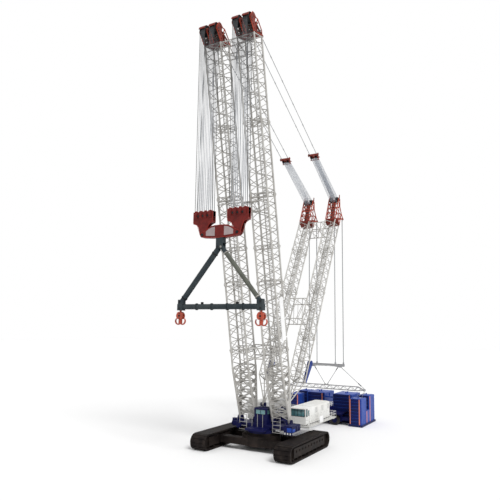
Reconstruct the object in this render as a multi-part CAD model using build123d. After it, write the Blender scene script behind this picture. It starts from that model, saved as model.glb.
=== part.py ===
"""Crawler crane with two lattice booms side by side, at one tenth of full size.

Millimetres, so 100 here is one metre of the real crane. +X is the crane's front,
+Y its left, +Z up. The origin is on the ground under the slewing axis.
"""
import math
import os
from build123d import *

os.makedirs("parts", exist_ok=True)

# Fits
RUN = 0.05            # radial fit of a pin in its bore
FACE_GAP = 0.3        # between faces of two bodies that slide past each other

# Crawlers
TRACK_GAUGE = 1540.0
TRACK_WIDTH = 280.0
TRACK_HEIGHT = 260.0
TRACK_LENGTH = 1600.0
TRACK_BELT = 18.0     # thickness of the belt under the shoes
SHOE_HEIGHT = 9.0
SHOES_PER_RUN = 19
SHOES_PER_END = 6
FRAME_WIDTH = 236.0
FRAME_Z = (62.0, 205.0)
ROLLER_R = 24.0
ROLLERS = 9
FRAME_HOLES = 10
FRAME_HOLE_PITCH = 115.0
FRAME_HOLE_Z = 150.0
FRAME_HOLE_R = 21.0

# Carbody
HUB_R = 330.0
CARBODY_Z = (75.0, 236.0)
CROSS_BEAM_X = 250.0
RING_R = 235.0
RING_TOP = 272.0

# Superstructure
DECK_Z = (312.0, 430.0)
DECK_X = (-1620.0, 60.0)
GIRDER_Y = (180.0, 300.0)
TROUGH_Z = 350.0
FOOT_BEAM_X = (-230.0, 60.0)
FOOT_BEAM_Y = 530.0
PIN_R = 22.0

# Booms
BOOM_FOOT = (-100.0, 457.0)       # x and z of the foot pins
BOOM_LEAN = 11.4                  # degrees forward of upright
BOOM_Y = 320.0                    # centre of each boom from the middle
BOOM_W = 313.0
BOOM_D = 266.0
BOOM_CHORD = 27.0
BOOM_LACE = 13.0
BOOM_FOOT_LEN = 900.0
BOOM_HEAD_AT = 6440.0
BOOM_BAYS = 19
HEAD_SHAFT = (196.0, 6643.0)      # along the boom's own x and z
HEAD_ARM = (-290.0, 6500.0)
HEAD_PEAK = (140.0, 6762.0)
SHEAVE_R = 85.0
SHAFT_R = 16.0
HEAD_PLATES = (-165.0, -30.0, 30.0, 165.0)
PACK_Y = 97.5                     # middle of a sheave pack from the middle of its boom
PACK_HALF = 52.0
COVER_GAP = 9.0                   # between the sheaves and their cover
COVER_TURN = 24.0                 # degrees the cover is turned back from upright
ARM_Y = 90.0
BAR_Y = 74.0                      # stay bars, inside the rear arms
STAY_PIN_R = 10.0
BOOM_LUG_T = 40.0

# Masts
MAST_FOOT = (-498.0, 642.0)
MAST_LEAN = -29.5
MAST_Y = 307.0
MAST_W = 221.0
MAST_D = 233.0
MAST_CHORD = 20.0
MAST_LACE = 10.0
MAST_FOOT_LEN = 520.0
MAST_HEAD_AT = 4200.0
MAST_BAYS = 14
MAST_PIN_R = 16.0
MAST_LUG_Y = 240.0
MAST_SHEAVE = (141.0, 4740.0)
MAST_REAR = (-262.0, 4513.0)
WINCH_FOOT = (-150.0, 545.0)
WINCH_HEAD = (-208.0, 945.0)

# Hoist
BLOCK_TOP = 3840.0
BLOCK_PIN_Z = 3450.0
BLOCK_W = 370.0
BLOCK_T = 80.0
ROCKER_T = 56.0
PIVOT_TOP = 3389.7
SPREADER_Z = 2325.0
SPREADER_HALF = 735.0
SPREADER_R = 42.0
STRUT_R = {1: 34.0, -1: 44.0}         # left and right strut
SWIVEL_R = 18.0

# Houses
HOUSE_Y = (302.0, 602.0)
HOUSE_Z = (352.0, 640.0)
HOUSE_X = (-1590.0, -712.0)
CAB_X = (-711.7, -470.0)
BRACKET_X = (-1450.0, -1150.0, -850.0, -590.0)
WALL = 12.0
WINDOW_Z = (498.0, 620.0)
VISOR_Z = (624.0, 634.0)
DOOR_X = (-640.0, -560.0)
DOOR_Z = (372.0, 600.0)
GAP = 1.5             # round a door leaf
SWING_GAP = 3.0       # in front of the leaf, where its corner swings out
DOOR_HINGE = (-641.0, 608.5)      # x and y of the hinge pin
DOOR_PIN_R = 3.0

# Superlift
GUIDE_Z = (340.0, 400.0)
BEAM_Z = (1195.0, 1245.0)
BEAM_Y = 420.0
TRUSS_Z = (710.0, 790.0)
TRUSS_Y = 880.0
TAPER_Y = 720.0                   # the lower truss tapers from here to its tips
TIP_Z = 726.0
WHEEL_R = 105.0
WHEEL_W = 74.0
WHEEL_Y = 270.0
WHEEL_X = (-2750.0, -2950.0)
AXLE_R = 16.0
TRAY_Z = 36.0
LUG_BORE_R = 8.0
INNER_LUG_X = (-3440.0, -3330.0)    # clear of the rear outer lugs, so that pins can be drawn


def block(x, y, z):
    """Box from three (low, high) pairs."""
    size = [b - a for a, b in (x, y, z)]
    mid = [(a + b) / 2 for a, b in (x, y, z)]
    return Pos(*mid) * Box(*size)


def bar(p, q, across, deep):
    """Square bar from p to q; `across` is its size along y."""
    start, end = Vector(*p), Vector(*q)
    run = end - start
    side = Vector(0, 1, 0)
    if abs(run.normalized().dot(side)) > 0.95:
        side = Vector(1, 0, 0)
    plane = Plane(origin=start, x_dir=side - run.normalized() * side.dot(run.normalized()), z_dir=run)
    return extrude(plane * Rectangle(across, deep), amount=run.length)


def rod_y(x, z, radius, y):
    """Round rod along y at x, z."""
    return Pos(x, (y[0] + y[1]) / 2, z) * Rot(90, 0, 0) * Cylinder(radius, y[1] - y[0])


def plate_xz(points, y, thick):
    """Plate with its outline in x and z, centred on y."""
    face = Plane.XZ * make_face(Polyline(*points, close=True))
    return Pos(0, y, 0) * extrude(face, amount=thick / 2, both=True)


def plate_yz(points, x, thick):
    """Plate with its outline in y and z, centred on x."""
    face = Plane.YZ * make_face(Polyline(*points, close=True))
    return Pos(x, 0, 0) * extrude(face, amount=thick / 2, both=True)


def zigzag(span, length, bays, lace):
    """Flat web: a strip with a triangle cut out between neighbouring diagonals."""
    half = span / 2
    pitch = length / bays
    rise = lace / 2 * math.hypot(span, pitch) / span
    tip = half - rise * span / pitch
    web = Rectangle(span + 4, length, align=(Align.CENTER, Align.MIN))
    holes = []
    for i in range(1, bays):
        side = 1 if i % 2 else -1
        z = i * pitch
        holes.append([(-side * half, z - pitch + rise), (side * tip, z), (-side * half, z + pitch - rise)])
    first = -half + 2 * rise * span / pitch
    holes.append([(first, rise), (half, rise), (half, pitch - rise)])
    end = 1 if bays % 2 else -1
    z = length
    holes.append([(-end * half, z - pitch + rise), (end * (half - 2 * rise * span / pitch), z - rise),
                  (-end * half, z - rise)])
    cuts = [make_face(Polyline(*h, close=True)) for h in holes]
    return web - cuts


def lattice(length, across, deep, chord, lace, bays):
    """Straight four-chord lattice up +Z from z = 0; `across` is along y."""
    parts = []
    for sx in (-1, 1):
        for sy in (-1, 1):
            parts.append(Pos(sx * deep / 2, sy * across / 2, length / 2) * Box(chord, chord, length))
    face = zigzag(across - chord, length, bays, lace)
    side = zigzag(deep - chord, length, bays, lace)
    for s in (-1, 1):
        parts.append(Pos(s * deep / 2, 0, 0) * extrude(Plane.YZ * face, amount=lace / 2, both=True))
        parts.append(Pos(0, s * across / 2, 0) * extrude(Plane.XZ * side, amount=lace / 2, both=True))
    return parts[0].fuse(*parts[1:])


def lean(shape, foot, angle, y=0.0):
    """Turn a shape about a foot pin and put it at its place."""
    return Pos(foot[0], y, foot[1]) * Rot(0, angle, 0) * shape


def joined(parts):
    return parts[0].fuse(*parts[1:])


def crawler_outline(grow):
    """Stadium outline of a track, grown outward from the belt's inner face."""
    r = TRACK_HEIGHT / 2 - SHOE_HEIGHT - TRACK_BELT + grow
    run = TRACK_LENGTH - TRACK_HEIGHT
    return SlotOverall(run + 2 * r, 2 * r)


def track(y):
    """Belt with shoes standing out of its outline."""
    mid = TRACK_HEIGHT / 2
    run = TRACK_LENGTH - TRACK_HEIGHT
    belt = crawler_outline(TRACK_BELT) - crawler_outline(0)
    shoes = []
    deep = SHOE_HEIGHT + 3
    out = mid - deep / 2
    pitch = run / SHOES_PER_RUN
    for i in range(SHOES_PER_RUN):
        x = -run / 2 + (i + 0.5) * pitch
        for s in (-1, 1):
            shoes.append(Pos(x, s * out) * Rectangle(pitch - 12, deep))
    half = (pitch - 14) / 2
    end_out = math.sqrt(mid ** 2 - half ** 2) - deep / 2
    for i in range(SHOES_PER_END):
        a = -90 + (i + 0.5) * 180 / SHOES_PER_END
        for s, turn in ((1, a), (-1, a + 180)):
            ca, sa = math.cos(math.radians(turn)), math.sin(math.radians(turn))
            shoe = Rot(0, 0, turn) * Rectangle(deep, 2 * half)
            shoes.append(Pos(s * run / 2 + end_out * ca, end_out * sa) * shoe)
    loop = belt + shoes
    return Pos(0, y, mid) * extrude(Plane.XZ * loop, amount=TRACK_WIDTH / 2, both=True)


def crawler_frame(y):
    """Side frame with end wheels and rollers inside the track."""
    mid = TRACK_HEIGHT / 2
    run = TRACK_LENGTH - TRACK_HEIGHT
    inner = mid - SHOE_HEIGHT - TRACK_BELT
    parts = [block((-run / 2 + 60, run / 2 - 60), (y - FRAME_WIDTH / 2, y + FRAME_WIDTH / 2), FRAME_Z)]
    for s in (-1, 1):
        parts.append(rod_y(s * run / 2, mid, inner - FACE_GAP, (y - 90, y + 90)))
    step = (run - 150) / (ROLLERS - 1)
    z = SHOE_HEIGHT + TRACK_BELT + ROLLER_R + FACE_GAP
    for i in range(ROLLERS):
        parts.append(rod_y(-run / 2 + 75 + i * step, z, ROLLER_R, (y - 100, y + 100)))
    for x in (-run / 3, 0, run / 3):
        top = TRACK_HEIGHT - SHOE_HEIGHT - TRACK_BELT - FACE_GAP
        parts.append(block((x - 35, x + 35), (y - 70, y + 70), (FRAME_Z[1] - 5, top)))
    body = joined(parts)
    side = y + math.copysign(FRAME_WIDTH / 2, y)
    for i in range(FRAME_HOLES):
        x = (i - (FRAME_HOLES - 1) / 2) * FRAME_HOLE_PITCH
        body -= rod_y(x, FRAME_HOLE_Z, FRAME_HOLE_R, (side - 14, side + 14))
    return body


def carbody():
    """Centre hub, two cross beams and the fixed half of the slewing ring."""
    parts = [Pos(0, 0, sum(CARBODY_Z) / 2) * Cylinder(HUB_R, CARBODY_Z[1] - CARBODY_Z[0])]
    reach = TRACK_GAUGE / 2 - FRAME_WIDTH / 2
    for s in (-1, 1):
        x = s * CROSS_BEAM_X
        parts.append(block((x - 70, x + 70), (-reach, reach), (85, 85 + 110)))
    parts.append(Pos(0, 0, (CARBODY_Z[1] + RING_TOP) / 2) * Cylinder(RING_R, RING_TOP - CARBODY_Z[1]))
    return joined(parts)


def foot_fork(y, x, z, base, half_gap, thick, pin, cheek):
    """Two cheeks with a pin through them, standing on z = base."""
    parts = []
    for s in (-1, 1):
        yc = y + s * (half_gap + thick / 2)
        pts = [(x - cheek * 1.7, base), (x + cheek * 1.7, base),
               (x + cheek, z + cheek), (x - cheek, z + cheek)]
        parts.append(plate_xz(pts, yc, thick))
    parts.append(rod_y(x, z, pin, (y - half_gap - thick - 8, y + half_gap + thick + 8)))
    return parts


def platform():
    """Slewing platform: ring, two girders, trough floor, front beam with a cabinet and a
    drive at its ends, house brackets, boom and mast forks."""
    parts = [Pos(0, 0, (RING_TOP + FACE_GAP + DECK_Z[0] + 5) / 2)
             * Cylinder(RING_R, DECK_Z[0] + 5 - RING_TOP - FACE_GAP)]
    for s in (-1, 1):
        ys = sorted((s * GIRDER_Y[0], s * GIRDER_Y[1]))
        parts.append(block((DECK_X[0], -235), ys, DECK_Z))
    parts.append(block((DECK_X[0], 260), (-GIRDER_Y[0], GIRDER_Y[0]), (DECK_Z[0], TROUGH_Z)))
    parts.append(block(FOOT_BEAM_X, (-FOOT_BEAM_Y, FOOT_BEAM_Y), (DECK_Z[0] + 20, 400)))
    for x in BRACKET_X:
        for s in (-1, 1):
            ys = sorted((s * 299, s * 572))
            parts.append(block((x - 20, x + 20), ys, (HOUSE_Z[0] - 22, HOUSE_Z[0])))
    parts.append(block((-60, 260), (540, 690), (318, 450)))
    parts.append(block((-160, 0), (529, 560), (335, 395)))
    parts.append(block((-150, 30), (-580, -529), (335, 395)))
    parts.append(Pos(-60, -575, 370) * Cylinder(42, 130))
    for boom in (-1, 1):
        for lug in (-1, 1):
            y = boom * BOOM_Y + lug * BOOM_W / 2
            parts += foot_fork(y, BOOM_FOOT[0], BOOM_FOOT[1], 395, BOOM_LUG_T / 2 + FACE_GAP, 16,
                               PIN_R, 34)
    for s in (-1, 1):
        parts += foot_fork(s * MAST_LUG_Y, MAST_FOOT[0], MAST_FOOT[1], 425, 22.5, 20, MAST_PIN_R, 30)
    return joined(parts)


def centre_cabin():
    """Small control cabin between the boom feet, hollow, with a window in front."""
    x, y, z = (-190, 55), (-118, 118), (400, 655)
    inner = [(a + WALL, b - WALL) for a, b in (x, y, z)]
    shell = block(x, y, z) - block(*inner)
    shell -= block((20, 80), (-90, 90), (560, 632))
    for s in (-1, 1):
        ys = sorted((s * 90, s * 140))
        shell -= block((-120, 25), ys, (560, 632))
    return shell


WINCHES = (-520.0, -800.0, -1080.0, -1360.0)


def winch(x):
    """Drum with flanges between two pedestals."""
    parts = [rod_y(x, 470, 62, (-150, 150))]
    for s in (-1, 1):
        parts.append(rod_y(x, 470, 100, sorted((s * 120, s * 134))))
        parts.append(block((x - 45, x + 45), sorted((s * 149, s * 175)), (TROUGH_Z, 490)))
    return joined(parts)


def machine_house(side):
    """Closed machinery house beside the deck, standing on its brackets."""
    y = sorted((side * HOUSE_Y[0], side * HOUSE_Y[1]))
    x = HOUSE_X if side > 0 else (HOUSE_X[0], -560.0)
    roof = block((x[0] + 30, x[1] - 30), (y[0] + 30, y[1] - 30), (HOUSE_Z[1] - 2, HOUSE_Z[1] + 6))
    return block(x, y, HOUSE_Z) + roof


def cab():
    """Hollow front cab of the left house with windows and a doorway cut out."""
    x, y, z = CAB_X, HOUSE_Y, HOUSE_Z
    inner = ((x[0] + WALL, x[1] - WALL), (y[0] + WALL, y[1] - WALL), (z[0] + WALL, z[1] - WALL))
    shell = block(x, y, z) - block(*inner)
    post = WALL + 6
    shell -= block((x[1] - WALL - 5, x[1] + 5), (y[0] + post, y[1] - post), WINDOW_Z)
    shell -= block((DOOR_X[1] + 15, x[1] - post), (y[1] - WALL - 5, y[1] + 5), WINDOW_Z)
    shell -= block(DOOR_X, (y[1] - WALL - 5, y[1] + 5), DOOR_Z)
    shell -= block((DOOR_X[0], x[1] - post), (y[0] - 5, y[0] + WALL + 5), WINDOW_Z)
    visor = block((x[1] - 1, x[1] + 22), (y[0], y[1]), VISOR_Z)
    seat = block((-610, -560), (430, 480), (z[0] + WALL - 1, 440))
    back = block((-622, -608), (430, 480), (420, 510))
    desk = block((-530, -500), (400, 510), (z[0] + WALL - 1, 460))
    parts = [shell, visor, seat, back, desk]
    hx, hy = DOOR_HINGE
    parts.append(Pos(hx, hy, 486) * Cylinder(DOOR_PIN_R, 196))
    for zc in (390, 582):
        parts.append(block((hx - 11, hx + 1), (y[1] - 1, hy + 4), (zc - 4, zc + 4)))
    return joined(parts)


def cab_door():
    """Door leaf with its window, hinged on its rear edge."""
    y = (HOUSE_Y[1] - WALL, HOUSE_Y[1])
    leaf = block((DOOR_X[0] + GAP, DOOR_X[1] - SWING_GAP), y, (DOOR_Z[0] + GAP, DOOR_Z[1] - GAP))
    leaf -= block((DOOR_X[0] + 16, DOOR_X[1] - 16), (y[0] - 5, y[1] + 5), (505, 588))
    parts = [leaf, block((DOOR_X[1] - 14, DOOR_X[1] - 8), (y[1] - 1, y[1] + 6), (470, 500))]
    hx, hy = DOOR_HINGE
    for zc in (415, 557):
        parts.append(Pos(hx, hy, zc) * Cylinder(DOOR_PIN_R + 3, 26))
        parts.append(block((hx, hx + 21), (hy - 6, hy - 2), (zc - 13, zc + 13)))
        parts.append(block((hx + 4, hx + 21), (y[1] - 1, hy - 2), (zc - 13, zc + 13)))
    return joined(parts) - Pos(hx, hy, 486) * Cylinder(DOOR_PIN_R + RUN, 300)


def walkway():
    """Walkway along the outer side of the left house on three brackets."""
    parts = [block((-1690, -400), (HOUSE_Y[1], 700), (340, 352))]
    parts.append(block((-1690, HOUSE_X[0]), (302, HOUSE_Y[1] + 1), (340, 352)))
    parts.append(block((CAB_X[1], -400), (302, HOUSE_Y[1] + 1), (340, 352)))
    for x in (-1595.0, -430.0):
        parts.append(block((x - 18, x + 18), (300, 690), (322, 341)))
    return joined(parts)


def boom():
    """One boom without its head, upright, foot pin at the origin."""
    run = BOOM_HEAD_AT - BOOM_FOOT_LEN
    parts = [Pos(0, 0, BOOM_FOOT_LEN) * lattice(run, BOOM_W, BOOM_D, BOOM_CHORD, BOOM_LACE, BOOM_BAYS)]
    top = BOOM_FOOT_LEN + 6
    d = BOOM_D / 2
    for sy in (-1, 1):
        y = sy * BOOM_W / 2
        for sx in (-1, 1):
            parts.append(bar((sx * 22, y, 34), (sx * d, y, top), BOOM_CHORD, BOOM_CHORD))
        lug = Pos(0, y, 0) * Rot(90, 0, 0) * Cylinder(33, BOOM_LUG_T)
        parts.append(lug)
        parts.append(block((-36, 36), (y - BOOM_LUG_T / 2, y + BOOM_LUG_T / 2), (10, 150)))
        parts.append(bar((-48, y, 260), (88, y, 560), BOOM_LACE, BOOM_LACE))
        parts.append(bar((88, y, 560), (-d, y, top), BOOM_LACE, BOOM_LACE))
    across = BOOM_W / 2
    for s in (-1, 1):
        for z, k in ((300, 0.33), (600, 0.66)):
            x = s * (22 + (d - 22) * k)
            parts.append(bar((x, -across, z), (x, across, z), BOOM_LACE, BOOM_LACE))
        x1, x2 = s * (22 + (d - 22) * 0.33), s * (22 + (d - 22) * 0.66)
        parts.append(bar((x1, -across, 300), (x2, across, 600), BOOM_LACE, BOOM_LACE))
        parts.append(bar((x2, across, 600), (s * d, -across, top), BOOM_LACE, BOOM_LACE))
    body = joined(parts)
    for sy in (-1, 1):
        body -= Pos(0, sy * BOOM_W / 2, 0) * Rot(90, 0, 0) * Cylinder(PIN_R + RUN, BOOM_LUG_T + 20)
    return body


def sheave_cover(y):
    """Curved cover over the top and back of one sheave pack, open in front."""
    inner = SHEAVE_R + COVER_GAP
    ring = Circle(inner + 6) - Circle(inner)
    keep = Pos(0, inner) * Rectangle(2.2 * inner, 2 * inner - 20)
    shell = extrude(Plane.XZ * (ring & Rot(0, 0, COVER_TURN) * keep), amount=PACK_HALF + 12, both=True)
    return Pos(HEAD_SHAFT[0], y, HEAD_SHAFT[1]) * shell


def boom_head():
    """Head plates for two sheave packs, their covers, and the rear arms for the stays."""
    x0, x1 = -BOOM_D / 2 - BOOM_CHORD / 2, BOOM_D / 2 + BOOM_CHORD / 2
    z0 = BOOM_HEAD_AT
    sx, sz = HEAD_SHAFT
    outer, inner = HEAD_PLATES[3], HEAD_PLATES[2]
    parts = []
    for y in HEAD_PLATES:
        top = HEAD_PEAK if abs(y) == outer else (HEAD_PEAK[0], sz + 30)
        pts = [(x0, z0), (x1, z0), (sx + 44, sz - 20), (sx + 30, sz + 36), top, (top[0] - 46, top[1] - 4),
               (40, 6690), (-20, 6684), (x0, z0 + 90)]
        parts.append(plate_xz(pts, y, 12) + rod_y(sx, sz, 46, (y - 6, y + 6)))
    for y in (-PACK_Y, PACK_Y):
        parts.append(sheave_cover(y))
    for x, z in ((x0 + 10, z0 + 10), (x1 - 10, z0 + 10), (20, z0 + 10), (-20, 6620), (x1 - 6, z0 + 70)):
        parts.append(block((x - 10, x + 10), (-outer, outer), (z - 10, z + 10)))
    parts.append(plate_xz([(x0, z0), (x1, z0), (x1, z0 + 12), (x0, z0 + 12)], 0, 2 * outer))
    ax, az = HEAD_ARM
    for y in (-ARM_Y, ARM_Y):
        arm = [(x0 + 5, z0 + 4), (-20, z0 + 10), (-20, 6684), (-70, 6668),
               (ax - 4, az + 24), (ax - 24, az), (ax, az - 24)]
        hole = [(x0 + 26, z0 + 50), (-44, z0 + 50), (-44, 6630), (-78, 6620)]
        parts.append(plate_xz(arm, y, 16) + rod_y(ax, az, 24, (y - 8, y + 8)) - plate_xz(hole, y, 30))
    for y in (-1, 1):
        parts.append(block((-40, -20), sorted((y * inner, y * (ARM_Y + 4))), (6560, 6600)))
    body = joined(parts)
    body -= rod_y(sx, sz, SHAFT_R + RUN, (-200, 200))
    return body + rod_y(ax, az, STAY_PIN_R, (-ARM_Y - 14, ARM_Y + 14))


def head_sheaves():
    """Two sheave packs on one shaft, each with grooves for five ropes."""
    parts = [rod_y(HEAD_SHAFT[0], HEAD_SHAFT[1], SHAFT_R, (-182, 182))]
    for y in (-PACK_Y, PACK_Y):
        parts.append(rod_y(HEAD_SHAFT[0], HEAD_SHAFT[1], SHEAVE_R, (y - PACK_HALF, y + PACK_HALF)))
    return joined(parts)


# Cross trusses between the booms: name, low and high station, bays
BOOM_TRUSSES = (
    ("boom_truss_top", 6190.0, 6420.0, 3),
    ("boom_truss_middle", 3560.0, 3730.0, 3),
    ("boom_truss_low", 1080.0, 1260.0, 3),
)


def boom_truss(low, high, bays):
    """Box truss lying across, between the inner chords of both booms."""
    reach = BOOM_Y - BOOM_W / 2 - BOOM_CHORD / 2
    body = lattice(2 * reach, high - low, BOOM_D, 18, 10, bays)
    return Pos(0, -reach, (low + high) / 2) * Rot(-90, 0, 0) * body


def front_beam():
    """Beam across both booms' front faces at the middle truss."""
    x = BOOM_D / 2 + BOOM_CHORD / 2
    parts = []
    for z in BOOM_TRUSSES[1][1:3]:
        parts.append(block((x, x + 18), (-490, 490), (z - 9, z + 9)))
        for y in (-70, 70):
            parts.append(block((x - 8, x + 1), (y - 12, y + 12), (z - 7, z + 7)))
    web = zigzag(152, 980, 8, 9)
    flat = Pos(x + 9, 490, 3645) * Rot(90, 0, 0) * extrude(Plane.YZ * web, amount=4.5, both=True)
    parts.append(flat)
    return joined(parts)


def sign_panel():
    """Blank panel on the outer side of the left boom."""
    y = BOOM_Y + BOOM_W / 2 + BOOM_CHORD / 2
    parts = [block((-66, 66), (y + 8, y + 15), (1380.0, 2095.0))]
    for z in (1420, 1737, 2055):
        parts.append(block((-140, 140), (y, y + 9), (z - 8, z + 8)))
    return joined(parts)


def mast():
    """One mast without its head, upright, foot pin at the origin."""
    run = MAST_HEAD_AT - MAST_FOOT_LEN
    parts = [Pos(0, 0, MAST_FOOT_LEN) * lattice(run, MAST_W, MAST_D, MAST_CHORD, MAST_LACE, MAST_BAYS)]
    off = MAST_LUG_Y - MAST_Y
    w, d = MAST_W / 2, MAST_D / 2
    parts.append(block((-d - 10, d + 10), (-w - 10, w + 10), (MAST_FOOT_LEN - 22, MAST_FOOT_LEN)))
    for sx in (-1, 1):
        for sy in (-1, 1):
            parts.append(bar((sx * 16, off + sy * 11, 78), (sx * d, sy * w, MAST_FOOT_LEN - 4), 20, 20))
    parts.append(block((-26, 26), (off - 22, off + 22), (8, 110)))
    parts.append(Pos(0, off, 0) * Rot(90, 0, 0) * Cylinder(28, 44))
    body = joined(parts)
    return body - Pos(0, off, 0) * Rot(90, 0, 0) * Cylinder(MAST_PIN_R + RUN, 80)


def mast_winch(side):
    """Blue tapered arm behind the outer rear chord of a mast, with a small rope drum in its head."""
    chord_x = -MAST_D / 2
    y = side * 88.0
    foot_x, foot_z, foot_r = WINCH_FOOT[0], WINCH_FOOT[1], 17.0
    head_x, head_z, head_r = WINCH_HEAD[0], WINCH_HEAD[1], 52.0
    sides = [(foot_x + foot_r, foot_z), (head_x + head_r, head_z),
             (head_x - head_r, head_z), (foot_x - foot_r, foot_z)]
    parts = []
    for yc in (y - 27, y + 27):
        plate = plate_xz(sides, yc, 12) + rod_y(head_x, head_z, head_r, (yc - 6, yc + 6))
        parts.append(plate + rod_y(foot_x, foot_z, foot_r, (yc - 6, yc + 6)))
    parts.append(rod_y(head_x, head_z, 30, (y - 40, y + 40)))
    lean_x = head_x - foot_x
    for k in (0.12, 0.4, 0.66):
        x, z = foot_x + lean_x * k, foot_z + (head_z - foot_z) * k
        parts.append(block((x - 9, x + 9), (y - 28, y + 28), (z - 8, z + 8)))
    for x, z in ((foot_x, foot_z), (head_x + 10, head_z - 30)):
        parts.append(block((x, chord_x - MAST_CHORD / 2), (y - 21, y + 33), (z - 10, z + 10)))
    return joined(parts)


# Openings cut in every plate of a mast head, along the mast's own x and z
MAST_HEAD_HOLES = (
    ((-88.0, 4250.0), (58.0, 4250.0), (-88.0, 4396.0)),
    ((84.0, 4286.0), (104.0, 4416.0), (-50.0, 4416.0)),
    ((10.0, 4470.0), (112.0, 4470.0), (128.0, 4640.0), (84.0, 4640.0)),
)


def mast_head():
    """Head plates with a rear arm, and an antler over the sheaves on each outer side."""
    x0, x1 = -MAST_D / 2 - 10, MAST_D / 2 + 10
    z0 = MAST_HEAD_AT
    parts = []
    for y in (-111.0, -24.0, 24.0, 111.0):
        pts = [(x0, z0), (x1, z0), (x1 + 20, 4480), (MAST_SHEAVE[0] + 36, 4700), (MAST_SHEAVE[0] + 36, 4780),
               (MAST_SHEAVE[0] - 40, 4790), (20, 4640), (-120, 4560),
               (MAST_REAR[0] - 24, MAST_REAR[1] + 24), (MAST_REAR[0] - 24, MAST_REAR[1] - 24),
               (x0, 4400)]
        if abs(y) < 60:
            pts = [(x0, z0), (x1, z0), (x1 + 20, 4480), (MAST_SHEAVE[0] + 36, 4700),
                   (MAST_SHEAVE[0] + 36, 4780), (MAST_SHEAVE[0] - 40, 4790), (20, 4640), (x0, 4480)]
        plate = plate_xz(pts, y, 12)
        for hole in MAST_HEAD_HOLES:
            plate -= plate_xz(hole, y, 30)
        parts.append(plate)
    for z in (z0 + 12, 4440):
        parts.append(block((x0, x1), (-111, 111), (z - 12, z + 12)))
    top_x, top_z = MAST_SHEAVE
    for s in (-1, 1):
        antler = [(top_x - 26, top_z), (top_x + 26, top_z), (top_x + 20, top_z + 60),
                  (top_x + 34, top_z + 118), (top_x + 16, top_z + 124), (top_x - 12, top_z + 62)]
        parts.append(plate_xz(antler, s * 111, 12))
        parts.append(block((x0 + 40, x1 - 40), sorted((s * 105, s * 150)), (z0 + 4, z0 + 22)))
        parts.append(bar((0, s * 144, z0 + 10), (top_x - 30, s * 114, top_z - 60), 12, 12))
    body = joined(parts)
    body -= rod_y(MAST_SHEAVE[0], MAST_SHEAVE[1], 14 + RUN, (-150, 150))
    return body + rod_y(MAST_REAR[0], MAST_REAR[1], STAY_PIN_R, (-128, 128))


def mast_sheaves():
    """Sheave packs at the top of a mast."""
    parts = [rod_y(MAST_SHEAVE[0], MAST_SHEAVE[1], 14, (-124, 124))]
    for y in (-67.5, 67.5):
        parts.append(rod_y(MAST_SHEAVE[0], MAST_SHEAVE[1], 62, (y - 36, y + 36)))
    return joined(parts)


# Cross trusses between the masts: name, low and high station, bays
MAST_TRUSSES = (
    ("mast_truss_top", 3900.0, 4150.0, 4),
    ("mast_truss_low", 1720.0, 2180.0, 4),
)


def mast_truss(low, high, bays):
    """Box truss between the inner chords of both masts."""
    reach = MAST_Y - MAST_W / 2 - MAST_CHORD / 2
    body = lattice(2 * reach, high - low, MAST_D, 16, 9, bays)
    return Pos(0, -reach, (low + high) / 2) * Rot(-90, 0, 0) * body


def to_world(point, foot, angle):
    """A point given along a leaning boom or mast, in the crane's x and z."""
    a = math.radians(angle)
    x, z = point
    return (foot[0] + x * math.cos(a) + z * math.sin(a), foot[1] - x * math.sin(a) + z * math.cos(a))


ARM_TIP = to_world(HEAD_ARM, BOOM_FOOT, BOOM_LEAN)
MAST_TOP = to_world(MAST_SHEAVE, MAST_FOOT, MAST_LEAN)
REAR_TIP = to_world(MAST_REAR, MAST_FOOT, MAST_LEAN)
SHAFT_AT = to_world(HEAD_SHAFT, BOOM_FOOT, BOOM_LEAN)
STAY_LEN = 2770.0
STAY_SLOPE = math.degrees(math.atan2(ARM_TIP[1] - MAST_TOP[1], ARM_TIP[0] - MAST_TOP[0]))


def stay(y):
    """Two pendant bars and the pulley block at their lower end, drawn level then sloped."""
    parts = []
    end, yoke = -STAY_LEN, 105.0
    for s in (-1, 1):
        yc = s * BAR_Y
        parts.append(block((end + 20, -14), (yc - 5, yc + 5), (-7, 7)))
        parts.append(rod_y(0, 0, 18, (yc - 5, yc + 5)))
    parts.append(block((end, end + 30), (-yoke, yoke), (-18, 18)))
    for s in (-1, 1):
        parts.append(block((end - 6, end + 36), sorted((s * (yoke - 12), s * (yoke + 6))), (-26, 26)))
    cheek = [(end + 2, -24), (end + 2, 24), (end - 70, 34), (end - 98, 24), (end - 98, -24), (end - 70, -34)]
    for yc in (-78.0, -26.0, 26.0, 78.0):
        parts.append(plate_xz(cheek, yc, 10))
        parts.append(block((end - 100, end - 80), (yc - 5, yc + 5), (-36, 36)))
    for z in (-40, 30):
        parts.append(block((end - 104, end - 92), (-yoke + 8, yoke - 8), (z, z + 10)))
    parts.append(rod_y(end - 45, 0, 10, (-84, 84)))
    for yc in (-52.0, 52.0):
        parts.append(rod_y(end - 45, 0, 42, (yc - 21.5, yc + 21.5)))
    body = joined(parts) - Rot(90, 0, 0) * Cylinder(STAY_PIN_R + RUN, 220)
    return Pos(ARM_TIP[0], y, ARM_TIP[1]) * Rot(0, -STAY_SLOPE, 0) * body


def outline_yz(edges, x, thick):
    """Plate with lines and arcs for its outline, drawn in y and z and centred on x."""
    return Pos(x, 0, 0) * extrude(Plane.YZ * make_face(edges), amount=thick / 2, both=True)


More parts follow.
